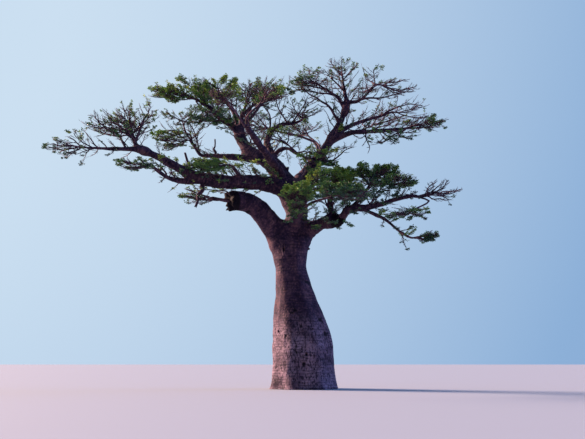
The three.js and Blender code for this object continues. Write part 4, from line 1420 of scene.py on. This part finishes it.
    def fits(self, place: Array, mass: Array, radius: Array, ragged: float = 0) -> Array:
        """Whether twigs keep to their space and clear of limbs.

        Args:
            place: a row of points for each twig.
            mass: the mass of each.
            radius: the radius of each.
            ragged: how far, as a share, noise moves the edge of the space.

        Returns:
            True or False for each twig.
        """
        count = place.shape[1]
        flat, owner = place.reshape(-1, 3), np.repeat(mass, count)
        good = self.in_own_space(flat, owner, ragged)
        good[good] = self.clear_of_limbs(flat[good], owner[good], np.repeat(radius, count)[good])
        return good.reshape(-1, count).all(axis=1)

    def ribs(self) -> Twigs:
        """The first twigs: an even spiral over the far side of each mass's space, from places along its stem.

        Returns:
            The ribs that fit.
        """
        rule, made = self.rule, []
        for index, plan in enumerate(MASSES):
            k = np.arange(plan.ribs)
            axis = unit((self.middle[index] - self.hub[index]) / self.half[index])
            across = unit(np.cross(axis, UP))
            cosine = 1 - (k + 0.5) / plan.ribs * rule.rib_backsweep
            turn = k * GOLDEN_ANGLE + 2 * math.pi * chance(self.key[index], Draw.TURN)
            key = child_key(self.key[index], k)
            leafy = chance(key, Draw.LEAF) < plan.sprays
            far = np.where(leafy, rule.leafy_rib_reach, rule.rib_reach)[:, None]
            ring = turned(across, np.cross(axis, across), turn)
            spot = cosine[:, None] * axis + np.sqrt(1 - cosine**2)[:, None] * ring
            tip = self.middle[index] + far * spot * self.half[index]
            early = rule.rib_stagger / self.stem_curves.length[index] * (k / plan.ribs)
            root = Curves(self.stems[index][None]).at((1 - np.minimum(0.5, early))[None])[0]
            made.append(Twigs(
                self._bowed(root, tip, key), np.full(plan.ribs, self.rib_radius[index]),
                np.full(plan.ribs, rule.rib_tip), key, np.full(plan.ribs, index), leafy,
            ))
        ribs = merged(made)
        checked = ribs.curves().at(np.broadcast_to(np.arange(2, 7) / 6, (len(ribs.key), 5)))
        return ribs.kept(self.fits(checked, ribs.mass, ribs.thick))

    def _bowed(self, root: Array, tip: Array, key: Array) -> Array:
        """Twigs that bow downwards and a little to one side.

        Args:
            root: where each starts.
            tip: where each ends.
            key: their keys.

        Returns:
            Three points for each.
        """
        bow = self.rule.rib_bow * np.linalg.norm(tip - root, axis=1, keepdims=True)
        side = np.cross(unit(tip - root), UP)
        middle = (root + tip) / 2 - bow * chance(key, Draw.DROOP)[:, None] * UP
        middle = middle + bow * (2 * chance(key, Draw.SWAY) - 1)[:, None] * side
        return np.stack([root, middle, tip], axis=1)

    def side_heading(self, along: Array, turn: Array, key: Array, angle: float) -> Array:
        """Directions of side twigs: off the parent to one side, level with a slight rise.

        Args:
            along: the parent's direction at each.
            turn: 1 or -1, the side of each.
            key: their keys.
            angle: between twig and parent, in radians.

        Returns:
            Unit directions.
        """
        side = unit(np.cross(along, UP))
        tilt = self.rule.side_rise * (chance(key, Draw.TILT) - self.rule.side_sag)
        return unit(along * math.cos(angle) + side * turn[:, None] * math.sin(angle) + tilt[:, None] * UP)

    def size(self, key: Array) -> Array:
        """How large each spray is, as a share that chance picks near one."""
        return self.rule.size_least + self.rule.size_range * chance(key, Draw.SIZE)

    def fitted(self, root: Array, heading: Array, length: Array, twigs: Twigs, least: float) -> Twigs:
        """Twigs at their longest that fits, out of a few shares of their length; the rest are left out.

        Args:
            root: where each starts.
            heading: its direction.
            length: its full length.
            twigs: the twigs, with all but their points.
            least: the least share of the length that is tried.

        Returns:
            The twigs that fit, with their points.
        """
        best = np.zeros(len(root))
        for share in self.rule.trials:
            if share < least:
                break
            rows = np.flatnonzero(best == 0)
            end = root[rows] + heading[rows] * (share * length[rows])[:, None]
            places = np.stack([(root[rows] + end) / 2, end], axis=1)
            good = self.fits(places, twigs.mass[rows], twigs.thin[rows], self.rule.ragged)
            best[rows[good]] = share
        twigs.points = self._bowed(root, root + heading * (best * length)[:, None], twigs.key)
        return twigs.kept(best > 0)

    def side_twigs(self, ribs: Twigs) -> Twigs:
        """The second order: side twigs at the rule's places, and a spray's own twig at each leafy rib's tip.

        Args:
            ribs: the first order.

        Returns:
            The twigs that fit.
        """
        rule, curves = self.rule, ribs.curves()
        shares, turns = (np.array(column) for column in zip(*rule.places))
        rows = len(ribs.key)
        table = np.broadcast_to(shares, (rows, len(shares)))
        place, along = curves.at(table).reshape(-1, 3), curves.heading(table).reshape(-1, 3)
        key = child_key(ribs.key[:, None], np.arange(len(shares))[None])
        leafy = chance(key, Draw.LEAF) < self.sprays[ribs.mass][:, None]
        plain = rule.side_length * curves.length[:, None] * (rule.side_length_start - table)
        length = np.where(leafy, rule.spray_length * self.size(key), plain).ravel()
        thick = 0.5 * taper(ribs.thick[:, None], ribs.thin[:, None], table).ravel()
        heading = self.side_heading(along, np.tile(turns, rows), key.ravel(), rule.side_angle)
        mass = np.repeat(ribs.mass, len(shares))
        sides = Twigs(place, thick, np.full(len(thick), rule.side_tip), key.ravel(), mass, leafy.ravel())
        tips = ribs.kept(ribs.leafy)
        thin = np.full(len(tips.key), rule.side_tip)
        ends = Twigs(tips.points, tips.thin, thin, child_key(tips.key, 50), tips.mass, tips.leafy)
        reach = rule.spray_length * self.size(tips.key)
        return merged([
            self.fitted(place, heading, length, sides, rule.side_least),
            self.fitted(tips.points[:, 2], tips.tip_heading(), reach, ends, rule.side_least),
        ])

    def limb_sprays(self, woodwork: Woodwork) -> Twigs:
        """Twigs along the limbs, turned round them by the golden angle and mostly upwards.

        Args:
            woodwork: the limbs and branches.

        Returns:
            The twigs that fit, which belong to no mass.
        """
        groups = []
        for number, plan in enumerate(LIMB_SPRAYS):
            limb = woodwork.limbs.get(plan.limb) or woodwork.branches[plan.limb]
            count = max(1, round(plan.each_metre * limb.length * (plan.end - plan.start)))
            k = np.arange(count)
            key = child_key(scramble(np.array(1000 + number)), k)
            share = plan.start + (plan.end - plan.start) * (k + chance(key, Draw.SWAY)) / count
            place, along = limb.curve.at(share[None])[0], limb.curve.heading(share[None])[0]
            side = unit(np.cross(along, UP) + 1e-3 * ACROSS)
            turn = k * GOLDEN_ANGLE + chance(key, Draw.TURN)
            rise = (0.35 + 0.75 * np.sin(turn))[:, None] * np.cross(side, along)
            out = unit(np.cos(turn)[:, None] * side + rise)
            girth = taper(limb.root, limb.tip, share)
            length = plan.length * (0.6 + 0.8 * chance(key, Draw.SIZE))
            if limb.name in woodwork.branches:
                length = length * (1.0 - 0.55 * share)
            twigs = Twigs(
                place, np.minimum(0.03, 0.5 * girth), np.full(count, self.rule.side_tip), key,
                np.full(count, -1), chance(key, Draw.LEAF) < plan.leaf,
            )
            root, heading = place + 0.85 * girth[:, None] * out, unit(0.75 * along + out)
            groups.append(self.fitted(root, heading, length, twigs, self.rule.side_least))
        return merged(groups)

    def under_sky(self, place: Array, key: Array, margin: float) -> Array:
        """Whether points are free of the gaps that the front view shows, but for the share of twigs kept there.

        A point's place in the picture is its offset aside and upwards from the eye over its depth ahead.

        Args:
            place: points.
            key: the twig that each belongs to.
            margin: how many pixels beyond each gap's edge are kept free.

        Returns:
            True or False for each point.
        """
        away = place - np.array(Studio.eye)
        level, up = math.cos(Studio.pitch), math.sin(Studio.pitch)
        ahead = away[..., 1] * level + away[..., 2] * up
        across = Studio.centre[0] + Studio.focal * away[..., 0] / ahead
        down = Studio.centre[1] - Studio.focal * (away[..., 2] * level - away[..., 1] * up) / ahead
        free = np.ones(place.shape[:-1], bool)
        for gap in OPENINGS:
            aside = (across - gap.across) / (gap.half_across + margin)
            below = (down - gap.down) / (gap.half_down + margin)
            free &= (np.hypot(aside, below) >= 1) | (chance(key, Draw.ROLL) < gap.kept)
        return free

    def twiglets(self, parents: Twigs) -> Twigs:
        """The finest order: twigs at turns to both sides along each parent, shorter towards its tip.

        Args:
            parents: the order before.

        Returns:
            The twiglets that fit.
        """
        rule, curves, count = self.rule, parents.curves(), len(self.rule.twiglet_places)
        table = np.broadcast_to(np.array(rule.twiglet_places), (len(parents.key), count))
        place, along = curves.at(table).reshape(-1, 3), curves.heading(table).reshape(-1, 3)
        number = np.arange(count)
        key = child_key(parents.key[:, None], 10 + number[None])
        turn = np.where(number % 2 == 0, 1.0, -1.0) * np.where(parents.key % np.uint64(2) == 0, 1, -1)[:, None]
        length = rule.twiglet_reach * curves.length[:, None] * (rule.twiglet_length_start - table)
        length = np.maximum(length * (0.7 + 0.6 * chance(key, Draw.SIZE)), rule.twiglet_length_least).ravel()
        thick = 0.6 * taper(parents.thick[:, None], parents.thin[:, None], table).ravel()
        key = key.ravel()
        heading = self.side_heading(along, turn.ravel(), key, rule.twiglet_angle)
        spread = rule.twiglet_spread * (chance(key, Draw.EXTRA) - 0.3)
        heading = unit(heading + spread[:, None] * UP)
        thin, mass = np.full(len(key), rule.twiglet_tip), np.repeat(parents.mass, count)
        twigs = Twigs(place, thick, thin, key, mass, np.repeat(parents.leafy, count))
        return self.fitted(place, heading, length, twigs, rule.trials[-1])


def twig_shape(twigs: Twigs, rings: int, sides: int, wander: float) -> Shape:
    """The tubes of many twigs, bent a little by noise that fades at both ends.

    Args:
        twigs: the twigs.
        rings: rings of corners in each, with its tip.
        sides: corners in a ring.
        wander: how far noise bends them, as a share of their length.

    Returns:
        The shape of all tubes.
    """
    share = np.broadcast_to(np.linspace(0, 1, rings), (len(twigs.key), rings))
    curves = twigs.curves()
    bend = noise_vectors((3.2 * share, (twigs.key % np.uint64(997)).astype(float)[:, None], 0.0), 7.5, 41)
    fade = np.minimum(4 * share, 1) * np.minimum(4 * (1 - share), 1)
    centres = curves.at(share) + wander * curves.length[:, None, None] * fade[..., None] * bend
    return twig_tubes(centres, taper(twigs.thick[:, None], twigs.thin[:, None], share), sides)


# Finishes.


def linear(colour: str) -> tuple[float, float, float, float]:
    """An sRGB hex colour, six digits after a hash, as linear red, green, blue and alpha."""
    parts = [int(colour[i : i + 2], 16) / 255 for i in (1, 3, 5)]
    return tuple(c / 12.92 if c <= 0.04045 else ((c + 0.055) / 1.055) ** 2.4 for c in parts) + (1.0,)


def add_node(
    tree: Tree, kind: str, inputs: dict[str | int, object] | None = None,
    settings: dict[str, object] | None = None, stops: tuple[tuple[float, str], ...] = (),
) -> bpy.types.Node:
    """Adds a node with its settings, and fills or links its sockets.

    Args:
        tree: the node tree.
        kind: the node's type, without the words that all shader nodes' types start with.
        inputs: by socket name or number, a value to set or another node's socket to link.
        settings: its properties by name.
        stops: for a colour ramp, places from 0 to 1 and their sRGB colours.

    Returns:
        The node.
    """
    node = tree.nodes.new(f"ShaderNode{kind}")
    for name, value in (settings or {}).items():
        setattr(node, name, value)
    for socket, value in (inputs or {}).items():
        if isinstance(value, Socket):
            tree.links.new(value, node.inputs[socket])
        else:
            node.inputs[socket].default_value = value
    for number, (place, colour) in enumerate(stops):
        if number == len(node.color_ramp.elements):
            node.color_ramp.elements.new(1.0)
        node.color_ramp.elements[number].position = place
        node.color_ramp.elements[number].color = linear(colour)
    return node


def plain_material(name: str, sockets: dict[str, object]) -> tuple[Material, Tree, bpy.types.Node]:
    """A material with nothing but a surface shader and its output.

    Args:
        name: the material's name.
        sockets: values of the shader's sockets.

    Returns:
        The material, its node tree and its shader.
    """
    material = bpy.data.materials.new(name)
    material.use_nodes = True
    tree = material.node_tree
    tree.nodes.clear()
    shader = add_node(tree, "BsdfPrincipled", sockets)
    add_node(tree, "OutputMaterial", {"Surface": shader.outputs["BSDF"]})
    return material, tree, shader


@dataclass(frozen=True)
class Patches:
    """Noise in the bark: its width in metres, its stretch along the axes, and how many finer layers it has."""

    width: float
    stretch: Point = (1.0, 1.0, 1.0)
    detail: float = 4.0

    def noise(self, tree: Tree, place: Socket) -> Socket:
        """Lays the noise out over points.

        Args:
            tree: the node tree.
            place: the socket of the points.

        Returns:
            The noise's socket.
        """
        moved = add_node(tree, "Mapping", {"Vector": place, "Scale": self.stretch}).outputs["Vector"]
        return add_node(tree, "TexNoise", {
            "Vector": moved, "Scale": 1 / self.width, "Detail": self.detail, "Roughness": 0.6,
        }).outputs["Fac"]


@dataclass(frozen=True)
class BaobabBark:
    """Baobab bark: a smooth mauve skin, blotched, wrinkled across, and stained low on the trunk.

    It has grown and never been worked: the eye gets soft broad light with hardly a gloss, painted shade in the
    creases that run round the stem, and dark flecks and runs where rain has stained the foot.
    """

    pale: str = "#735459"
    bloom: str = "#a28a9b"
    mauve: str = "#38263c"
    # a dark tone for blotches and for stains low down, and painted shade in the wrinkle lines
    stain: str = "#1a1224"
    # near-black painted shade, laid where the crease share is high: in creases, pits, scar hollows and broken
    # ends
    crease: str = "#0f0a14"
    roughness: float = 0.8
    gloss: float = 0.15
    blotches: Patches = Patches(0.5, (1.0, 1.0, 0.7), 5.0)
    mottles: Patches = Patches(0.11, (1.0, 1.0, 0.8), 5.0)
    wrinkles: Patches = Patches(0.13, (0.16, 0.16, 1.0))
    runs: Patches = Patches(0.1, (1.0, 1.0, 0.3))
    specks: Patches = Patches(0.07, (1.0, 1.0, 0.5))
    blooms: Patches = Patches(1.1, detail=5.0)
    grain: Patches = Patches(0.02, detail=3.0)
    ring_spacing: float = 0.15
    # Windows in which a share rises from nothing to its most.
    ring_window: Point = (0.45, 0.9, 0.6)
    wrinkle_window: Point = (0.42, 0.6, 1.0)
    stained_height: Point = (5.4, 3.4, 1.0)
    bloomed_height: Point = (4.2, 2.6, 0.62)
    run_window: Point = (0.53, 0.6, 0.8)
    speck_window: Point = (0.53, 0.6, 0.9)
    bloom_window: Point = (0.28, 0.62, 1.0)

    def material(self) -> Material:
        """Lays mottles over blotches, then bloom, wrinkle lines of painted shade, stains low, and painted shade
        in creases.

        Returns:
            The material.
        """
        material, tree, shader = plain_material("baobab_bark", {
            "Roughness": self.roughness, "Specular IOR Level": self.gloss,
        })
        skin = add_node(tree, "Attribute", {}, {"attribute_name": "skin"}).outputs["Vector"]
        crease = add_node(tree, "Attribute", {}, {"attribute_name": "crease"}).outputs["Fac"]
        place = add_node(tree, "TexCoord").outputs["Object"]
        height = add_node(tree, "SeparateXYZ", {"Vector": place}).outputs["Z"]
        stops = ((0.34, self.stain), (0.5, self.mauve), (0.66, self.pale))
        blotches, mottles = (
            add_node(tree, "ValToRGB", {"Fac": patches.noise(tree, place)}, stops=stops).outputs["Color"]
            for patches in (self.blotches, self.mottles)
        )
        mixed = {"data_type": "RGBA"}
        colour = add_node(tree, "Mix", {0: 0.5, 6: blotches, 7: mottles}, mixed).outputs[2]
        wrinkles = self.wrinkles.noise(tree, skin)
        # A wave's scale of 0.314 gives rings a metre apart.
        rings = add_node(tree, "TexWave", {
            "Vector": skin, "Scale": 0.314 / self.ring_spacing, "Distortion": 5.0, "Detail": 4.0,
            "Detail Scale": 0.7,
        }, {"wave_type": "BANDS", "bands_direction": "Z"}).outputs["Fac"]
        values = (
            (rings, self.ring_window), (wrinkles, self.wrinkle_window), (height, self.stained_height),
            (height, self.bloomed_height), (self.blooms.noise(tree, place), self.bloom_window),
            (self.runs.noise(tree, skin), self.run_window), (self.specks.noise(tree, place), self.speck_window),
        )
        ringed, wrinkled, low, bloomed, clouded, runs, specks = (
            add_node(tree, "MapRange", {
                "Value": value, "From Min": first, "From Max": last, "To Max": most,
            }, {"interpolation_type": "SMOOTHSTEP"}).outputs["Result"]
            for value, (first, last, most) in values
        )
        both = add_node(tree, "Math", {0: runs, 1: specks}, {"operation": "MAXIMUM"}).outputs["Value"]
        layers = (
            # painted shade: dark lines where rings and wrinkles meet, as shade in the wrinkle creases
            (bloomed, clouded, self.bloom), (ringed, wrinkled, self.stain), (both, low, self.stain),
            (crease, 1.0, self.crease),
        # painted shade: near-black where the crease share is high, in creases, pits, scar hollows and broken ends
        )
        for first, second, tint in layers:
            share = add_node(tree, "Math", {0: first, 1: second}, {"operation": "MULTIPLY"}).outputs["Value"]
            colour = add_node(tree, "Mix", {0: share, 6: colour, 7: linear(tint)}, mixed).outputs[2]
        rough = add_node(tree, "Bump", {"Strength": 0.4, "Distance": 0.02, "Height": wrinkles})
        fine = add_node(tree, "Bump", {
            "Strength": 0.5, "Distance": 0.006, "Height": self.grain.noise(tree, place),
            "Normal": rough.outputs["Normal"],
        })
        tree.links.new(colour, shader.inputs["Base Color"])
        tree.links.new(fine.outputs["Normal"], shader.inputs["Normal"])
        return material


@dataclass(frozen=True)
class TwigBark:
    """Young bark on twigs: thin, dull and purple-brown, paler in patches, which keeps twigs dark lines."""

    dark: str = "#261a28"
    light: str = "#654b58"
    patch: float = 0.3
    roughness: float = 0.8
    gloss: float = 0.15

    def material(self) -> Material:
        """Lays noise in patches between the two colours.

        Returns:
            The material.
        """
        material, tree, shader = plain_material("twig_bark", {
            "Roughness": self.roughness, "Specular IOR Level": self.gloss,
        })
        place = add_node(tree, "TexCoord").outputs["Object"]
        noise = add_node(tree, "TexNoise", {"Vector": place, "Scale": 1 / self.patch, "Detail": 4.0})
        stops = ((0.35, self.dark), (0.65, self.light))
        colour = add_node(tree, "ValToRGB", {"Fac": noise.outputs["Fac"]}, stops=stops)
        tree.links.new(colour.outputs["Color"], shader.inputs["Base Color"])
        return material


class Tint(Enum):
    """The leaves' tints, lit and shaded copies of one leaf green as painted light and shade, from the crown's
    shaded inside to sprays in full light.
    """

    SHADE = ("shade", "#3c6150")
    DARK = ("dark", "#517c4a")
    MID = ("mid", "#6c9547")
    FRESH = ("fresh", "#93b248")
    BRIGHT = ("bright", "#bccb4a")


@dataclass(frozen=True)
class LeafGreen:
    """A baobab leaf: thin and matt with a faint sheen, in one tint, which gives tufts a plain colour."""

    tint: Tint
    roughness: float = 0.55

    def material(self) -> Material:
        """The material: a plain base colour."""
        label, colour = self.tint.value
        return plain_material(f"leaf_{label}", {"Base Color": linear(colour), "Roughness": self.roughness})[0]


# Leaves.


@dataclass(frozen=True)
class PalmateLeaf:
    """A hand-shaped leaf: five folded leaflets spread from the end of a stalk, in metres."""

    stalk: float = 0.04
    leaflet: float = 0.076
    width: float = 0.036
    fold: float = 0.008
    droop: float = 0.02
    fan: tuple[float, ...] = (-1.75, -0.85, 0.0, 0.85, 1.75)
    shares: tuple[float, ...] = (0.72, 0.92, 1.0, 0.92, 0.72)

    def template(self) -> tuple[Array, Array]:
        """One leaf that lies along +X with its face up.

        Each leaflet is a kite folded along its middle: root, two shoulders at six tenths, and a drooping tip.

        Returns:
            Its corners and triangles.
        """
        root = np.array([self.stalk, 0, 0])
        corners, faces = [np.array([[0, 0.004, 0], [0, -0.004, 0], root])], [np.array([[0, 1, 2]])]
        for number, (angle, share) in enumerate(zip(self.fan, self.shares)):
            along = np.array([math.cos(angle), math.sin(angle), 0])
            wide = np.array([-math.sin(angle), math.cos(angle), 0]) * self.width * share / 2
            length = self.leaflet * share
            shoulder = root + along * 0.6 * length + UP * self.fold
            tip = root + along * length - UP * self.droop
            corners.append(np.array([root, shoulder - wide, tip, shoulder + wide]))
            faces.append(np.array([[0, 1, 2], [0, 2, 3]]) + 3 + 4 * number)
        return np.concatenate(corners), np.concatenate(faces)

    def spread(self, place: Array, outward: Array, face: Array, size: Array) -> Shape:
        """Copies of the leaf at many places.

        Args:
            place: the stalk's foot of each leaf.
            outward: the direction that each points in.
            face: roughly the way each faces.
            size: the scale of each.

        Returns:
            The shape of all leaves.
        """
        corners, faces = self.template()
        x = unit(outward)
        y = unit(np.cross(face, x))
        axes = np.stack([x, y, np.cross(x, y)], axis=1) * size[:, None, None]
        every = place[:, None] + np.einsum("kc,ncd->nkd", corners, axes)
        start = (np.arange(len(place)) * len(corners))[:, None, None]
        return Shape(every.reshape(-1, 3), np.empty((0, 4), int), (faces[None] + start).reshape(-1, 3))


@dataclass(frozen=True)
class Foliage:
    """Leaves in rosettes at the twiglets' ends."""

    leaf: PalmateLeaf = PalmateLeaf()
    each: int = 5
    flatness: Point = (1.0, 1.0, 0.45)
    sag: float = 0.1
    back: float = 0.16
    looseness: float = 1.1

    def rosettes(self, twigs: Twigs) -> Shape:
        """The leaves of all rosettes, leaf by leaf.

        Args:
            twigs: the twiglets that end in a rosette.

        Returns:
            The shape of all leaves.
        """
        ahead = twigs.tip_heading()
        k = np.arange(self.each)
        key = child_key(twigs.key[:, None], 20 + k[None])
        turn = k * GOLDEN_ANGLE + 2 * math.pi * chance(twigs.key, Draw.TURN)[:, None]
        aside = unit(np.cross(ahead, UP) + 1e-3 * ACROSS)
        lean = 0.35 + 0.9 * chance(key, Draw.TILT)
        outward = unit(ahead[:, None] * lean[..., None] + turned(aside, np.cross(ahead, aside), turn))
        outward = unit(outward * np.array(self.flatness) - self.sag * UP)
        loose = np.stack([chance(key, draw) - 0.5 for draw in (Draw.ROLL, Draw.SWAY, Draw.DROOP)], axis=-1)
        face = unit(UP + self.looseness * loose)
        place = twigs.points[:, 2][:, None] - ahead[:, None] * (self.back * chance(key, Draw.EXTRA))[..., None]
        size = 0.75 + 0.5 * chance(key, Draw.SIZE)
        return self.leaf.spread(place.reshape(-1, 3), outward.reshape(-1, 3), face.reshape(-1, 3), size.ravel())


@dataclass(frozen=True)
class CrownBuilder:
    """Turns the crown's growth into joined pieces that replace the masses."""

    crown: Crown
    woodwork: Woodwork

    TUFT_WIDTH = 0.3  # metres between tufts of leaves
    LOOSENESS = 0.8  # how far chance, and not the tufts, decides which twiglets bear leaves
    CLOUD_WIDTH = 1.1  # metres across the thicker and thinner parts of a mass
    TUFTED_SHARE = 0.62  # of a leafy spray's twiglets that bear leaves
    STEM_GIRTH = 1.3  # of a stem's radius at its root, and its most in metres
    STEM_MOST = 0.16
    TWIG_GAP, LEAF_GAP = 1.0, 3.0  # pixels round an opening that twigs and leaves keep free
    LEAST_TWIGS, FULL_TWIGS = 0.35, 0.3  # share of twiglets in a bare mass; leafiness of a full one
    LEAST_LEAVES, FULL_LEAVES = 0.35, 0.5  # the same for leaves on limbs' own twigs
    STRAY_LEAVES = 0.05  # share of bare twiglets with leaves; a mass less leafy has none
    RISE_LIGHT, CHANCE_LIGHT = 0.22, 0.3  # painted light: how much height and chance lighten a spray's leaf tint
    TINT_STEPS = (0.22, 0.4, 0.58, 0.78)  # light at which one tint gives way to the next
    # Rings, sides and wander of stems, ribs, side twigs and twiglets.
    FORMS = ((8, 7, 0.0), (8, 5, 0.05), (5, 3, 0.05), (3, 3, 0.04))
    # The crown's twigs are joined in thirds, by where they start from left to right, in metres.
    THIRDS = (("left", -99.0, -3.3), ("middle", -3.3, 2.9), ("right", 2.9, 99.0))

    def build(self) -> None:
        """Grows every order of twig, then makes and dresses twigs and leaves."""
        crown, count = self.crown, len(MASSES)
        thick = np.minimum(crown.stem_radius * self.STEM_GIRTH, self.STEM_MOST)
        leafy = np.ones(count, bool)
        stems = Twigs(crown.stems, thick, crown.rib_radius, crown.key, np.arange(count), leafy)
        ribs = crown.ribs()
        sides = merged([crown.side_twigs(ribs), crown.limb_sprays(self.woodwork)])
        sides = sides.kept(crown.under_sky(sides.points[:, 2], sides.key, self.TWIG_GAP))
        fine = crown.twiglets(sides)
        leafiness = np.clip(crown.leafiness(fine.points[:, 2]) / self.FULL_TWIGS, 0, 1)
        full = self.LEAST_TWIGS + (1 - self.LEAST_TWIGS) * leafiness
        open_sky = crown.under_sky(fine.points[:, 2], fine.key, self.TWIG_GAP)
        fine = fine.kept(open_sky & (chance(fine.key, Draw.SWAY) < full))
        log.info("ribs %d, side twigs %d, twiglets %d", len(ribs.key), len(sides.key), len(fine.key))
        bark = TwigBark().material()
        for label, low, high in self.THIRDS:
            shapes = [
                twig_shape(twigs.kept((twigs.points[:, 0, 0] >= low) & (twigs.points[:, 0, 0] < high)), *form)
                for twigs, form in zip((stems, ribs, sides, fine), self.FORMS)
            ] + [
                self.woodwork.branch_shape(form) for form in self.woodwork.branches.values()
                if low <= form.point(0.0)[0] < high
            ]
            nodes = [plan.name for plan in MASSES if low <= plan.middle[0] * CM < high]
            placed(joined(shapes), f"twigs_{label}", bark, nodes, smooth=True)
        self.leaves(fine)

    def leaves(self, fine: Twigs) -> None:
        """Puts rosettes on the twiglets of leafy sprays, in tufts, and a few on bare ones.

        Args:
            fine: the twiglets.
        """
        crown, tip = self.crown, fine.points[:, 2]
        clump = smooth_noise(tip / self.TUFT_WIDTH, 61) + 0.6 * smooth_noise(tip / self.CLOUD_WIDTH, 62)
        own = (crown.leaf / np.maximum(crown.sprays, 0.01))[fine.mass]
        limbs = np.clip(crown.leafiness(tip) / self.FULL_LEAVES, self.LEAST_LEAVES, 1)
        share = np.clip(np.where(fine.mass < 0, limbs, own), 0, 1)
        clump = clump + self.LOOSENESS * chance(fine.key, Draw.EXTRA)
        tufted = clump > np.quantile(clump, 1 - self.TUFTED_SHARE * share)
        few = chance(fine.key, Draw.LEAF) < self.STRAY_LEAVES * (crown.leaf[fine.mass] > self.STRAY_LEAVES)
        bearing = fine.kept(((fine.leafy & tufted) | few) & crown.under_sky(tip, fine.key, self.LEAF_GAP))
        tip = bearing.points[:, 2]
        # Painted light and shade: each rosette takes a lit or shaded copy of the leaf green by its mass's sun,
        # its height in the mass and chance.
        nearest = crown.reach(tip).argmin(axis=1)
        sun = np.array([plan.sun for plan in MASSES])[nearest]
        rise = np.clip((tip[:, 2] - crown.middle[nearest, 2]) / crown.half[nearest, 2], -1.5, 1.5)
        light = sun + self.RISE_LIGHT * rise + self.CHANCE_LIGHT * (chance(bearing.key, Draw.TINT) - 0.5)
        number = np.digitize(light, self.TINT_STEPS)
        for index, tint in enumerate(Tint):
            if (number == index).any():
                self.place_leaves(bearing.kept(number == index), tint)

    def place_leaves(self, twigs: Twigs, tint: Tint) -> None:
        """Makes the leaves of one tint, in as few pieces as the most triangles allow.

        Args:
            twigs: the twiglets that end in a rosette.
            tint: their tint.
        """
        shape, material = Foliage().rosettes(twigs), LeafGreen(tint).material()
        nodes = [plan.name for plan in MASSES if plan.leaf > self.STRAY_LEAVES]
        corners, faces = (len(part) for part in PalmateLeaf().template())
        leaves = len(shape.triangles) // faces
        parts = math.ceil(leaves * faces / MOST_TRIANGLES)
        edges = np.linspace(0, leaves, parts + 1).astype(int)
        for number, (first, last) in enumerate(zip(edges[:-1], edges[1:])):
            triangles = shape.triangles[first * faces : last * faces] - first * corners
            part = Shape(shape.corners[first * corners : last * corners], shape.quads, triangles)
            name = f"leaves_{tint.value[0]}" + (f"_{number + 1}" if parts > 1 else "")
            placed(part, name, material, nodes, smooth=False)


# Studio.


@dataclass(frozen=True)
class Studio:
    """A pale floor, soft light mostly from behind on the left, and a camera at a standing viewer's height.

    Focal length and centre are those of the picture, 585 by 439 pixels; the horizon lies 141.5 pixels below
    its centre.
    """

    eye: Point = (-0.573, -44.0, 1.45)
    lens: float = 50.0
    sensor: float = 36.0
    focal: float = 812.5
    centre: tuple[float, float] = (292.5, 219.5)
    pitch: float = math.atan(141.5 / 812.5)
    bright_side: Point = (-0.549, 0.749, 0.37)
    # The sky's colour from the side away from the bright one to it.
    glow: tuple[tuple[float, str], ...] = (
        (0.0, "#526596"), (0.5, "#6783b6"), (0.775, "#8db0d8"), (0.975, "#cbdff1"),
    )

    def build(self) -> None:
        """Makes the floor, the lights and the camera."""
        scene = bpy.context.scene
        floor = Shape(
            np.array([[-300.0, -300, 0], [300, -300, 0], [300, 300, 0], [-300, 300, 0]]) - 0.002 * UP,
            np.array([[0, 1, 2, 3]]), np.empty((0, 3), int),
        ).made("studio_floor", smooth=False)
        finish = plain_material("pale_floor", {"Base Color": linear("#7f8a99"), "Roughness": 0.9})
        floor.data.materials.append(finish[0])
        world = bpy.data.worlds.new("pale_sky")
        scene.world = world
        world.use_nodes = True
        tree = world.node_tree
        towards = add_node(tree, "TexCoord").outputs["Generated"]
        side = add_node(tree, "VectorMath", {0: towards, 1: self.bright_side}, {"operation": "DOT_PRODUCT"})
        share = add_node(tree, "MapRange", {
            "Value": side.outputs["Value"], "From Min": -1.0, "From Max": 1.0,
        })
        glow = add_node(tree, "ValToRGB", {"Fac": share.outputs["Result"]}, stops=self.glow)
        background = tree.nodes["Background"]
        tree.links.new(glow.outputs["Color"], background.inputs["Color"])
        background.inputs["Strength"].default_value = 1.0
        self.sun("warm_key", (-0.84, 0.4, 0.42), 15.0, "#ffd2bb", 20)
        self.sun("cool_rim", (0.9, 0.22, 0.4), 1.7, "#8fa8ff", 40)
        scene.view_settings.view_transform = "Standard"
        camera = bpy.data.objects.new("camera", bpy.data.cameras.new("camera"))
        scene.collection.objects.link(camera)
        camera.location = self.eye
        camera.rotation_euler = (math.pi / 2 + self.pitch, 0, 0)
        camera.data.lens = self.lens
        camera.data.sensor_width = self.sensor
        camera.data.clip_end = 1000
        scene.camera = camera

    def sun(self, name: str, towards: Point, strength: float, colour: str, spread: float) -> None:
        """A broad sun lamp, which stands for a large soft light far off.

        Args:
            name: the lamp's name.
            towards: the direction in which the light lies.
            strength: in watts a square metre.
            colour: sRGB hex.
            spread: its width in degrees.
        """
        lamp = bpy.data.lights.new(name, "SUN")
        lamp.energy = strength
        lamp.color = linear(colour)[:3]
        lamp.angle = math.radians(spread)
        holder = bpy.data.objects.new(name, lamp)
        holder.rotation_euler = Vector(towards).to_track_quat("Z", "Y").to_euler()
        bpy.context.scene.collection.objects.link(holder)


def main() -> None:
    """Builds the tree and the studio."""
    logging.basicConfig(level=logging.INFO, format="%(message)s")
    woodwork = Woodwork()
    woodwork.build(BaobabBark())
    CrownBuilder(Crown(woodwork, GrowthRule()), woodwork).build()
    Studio().build()


if __name__ == "__main__":
    main()
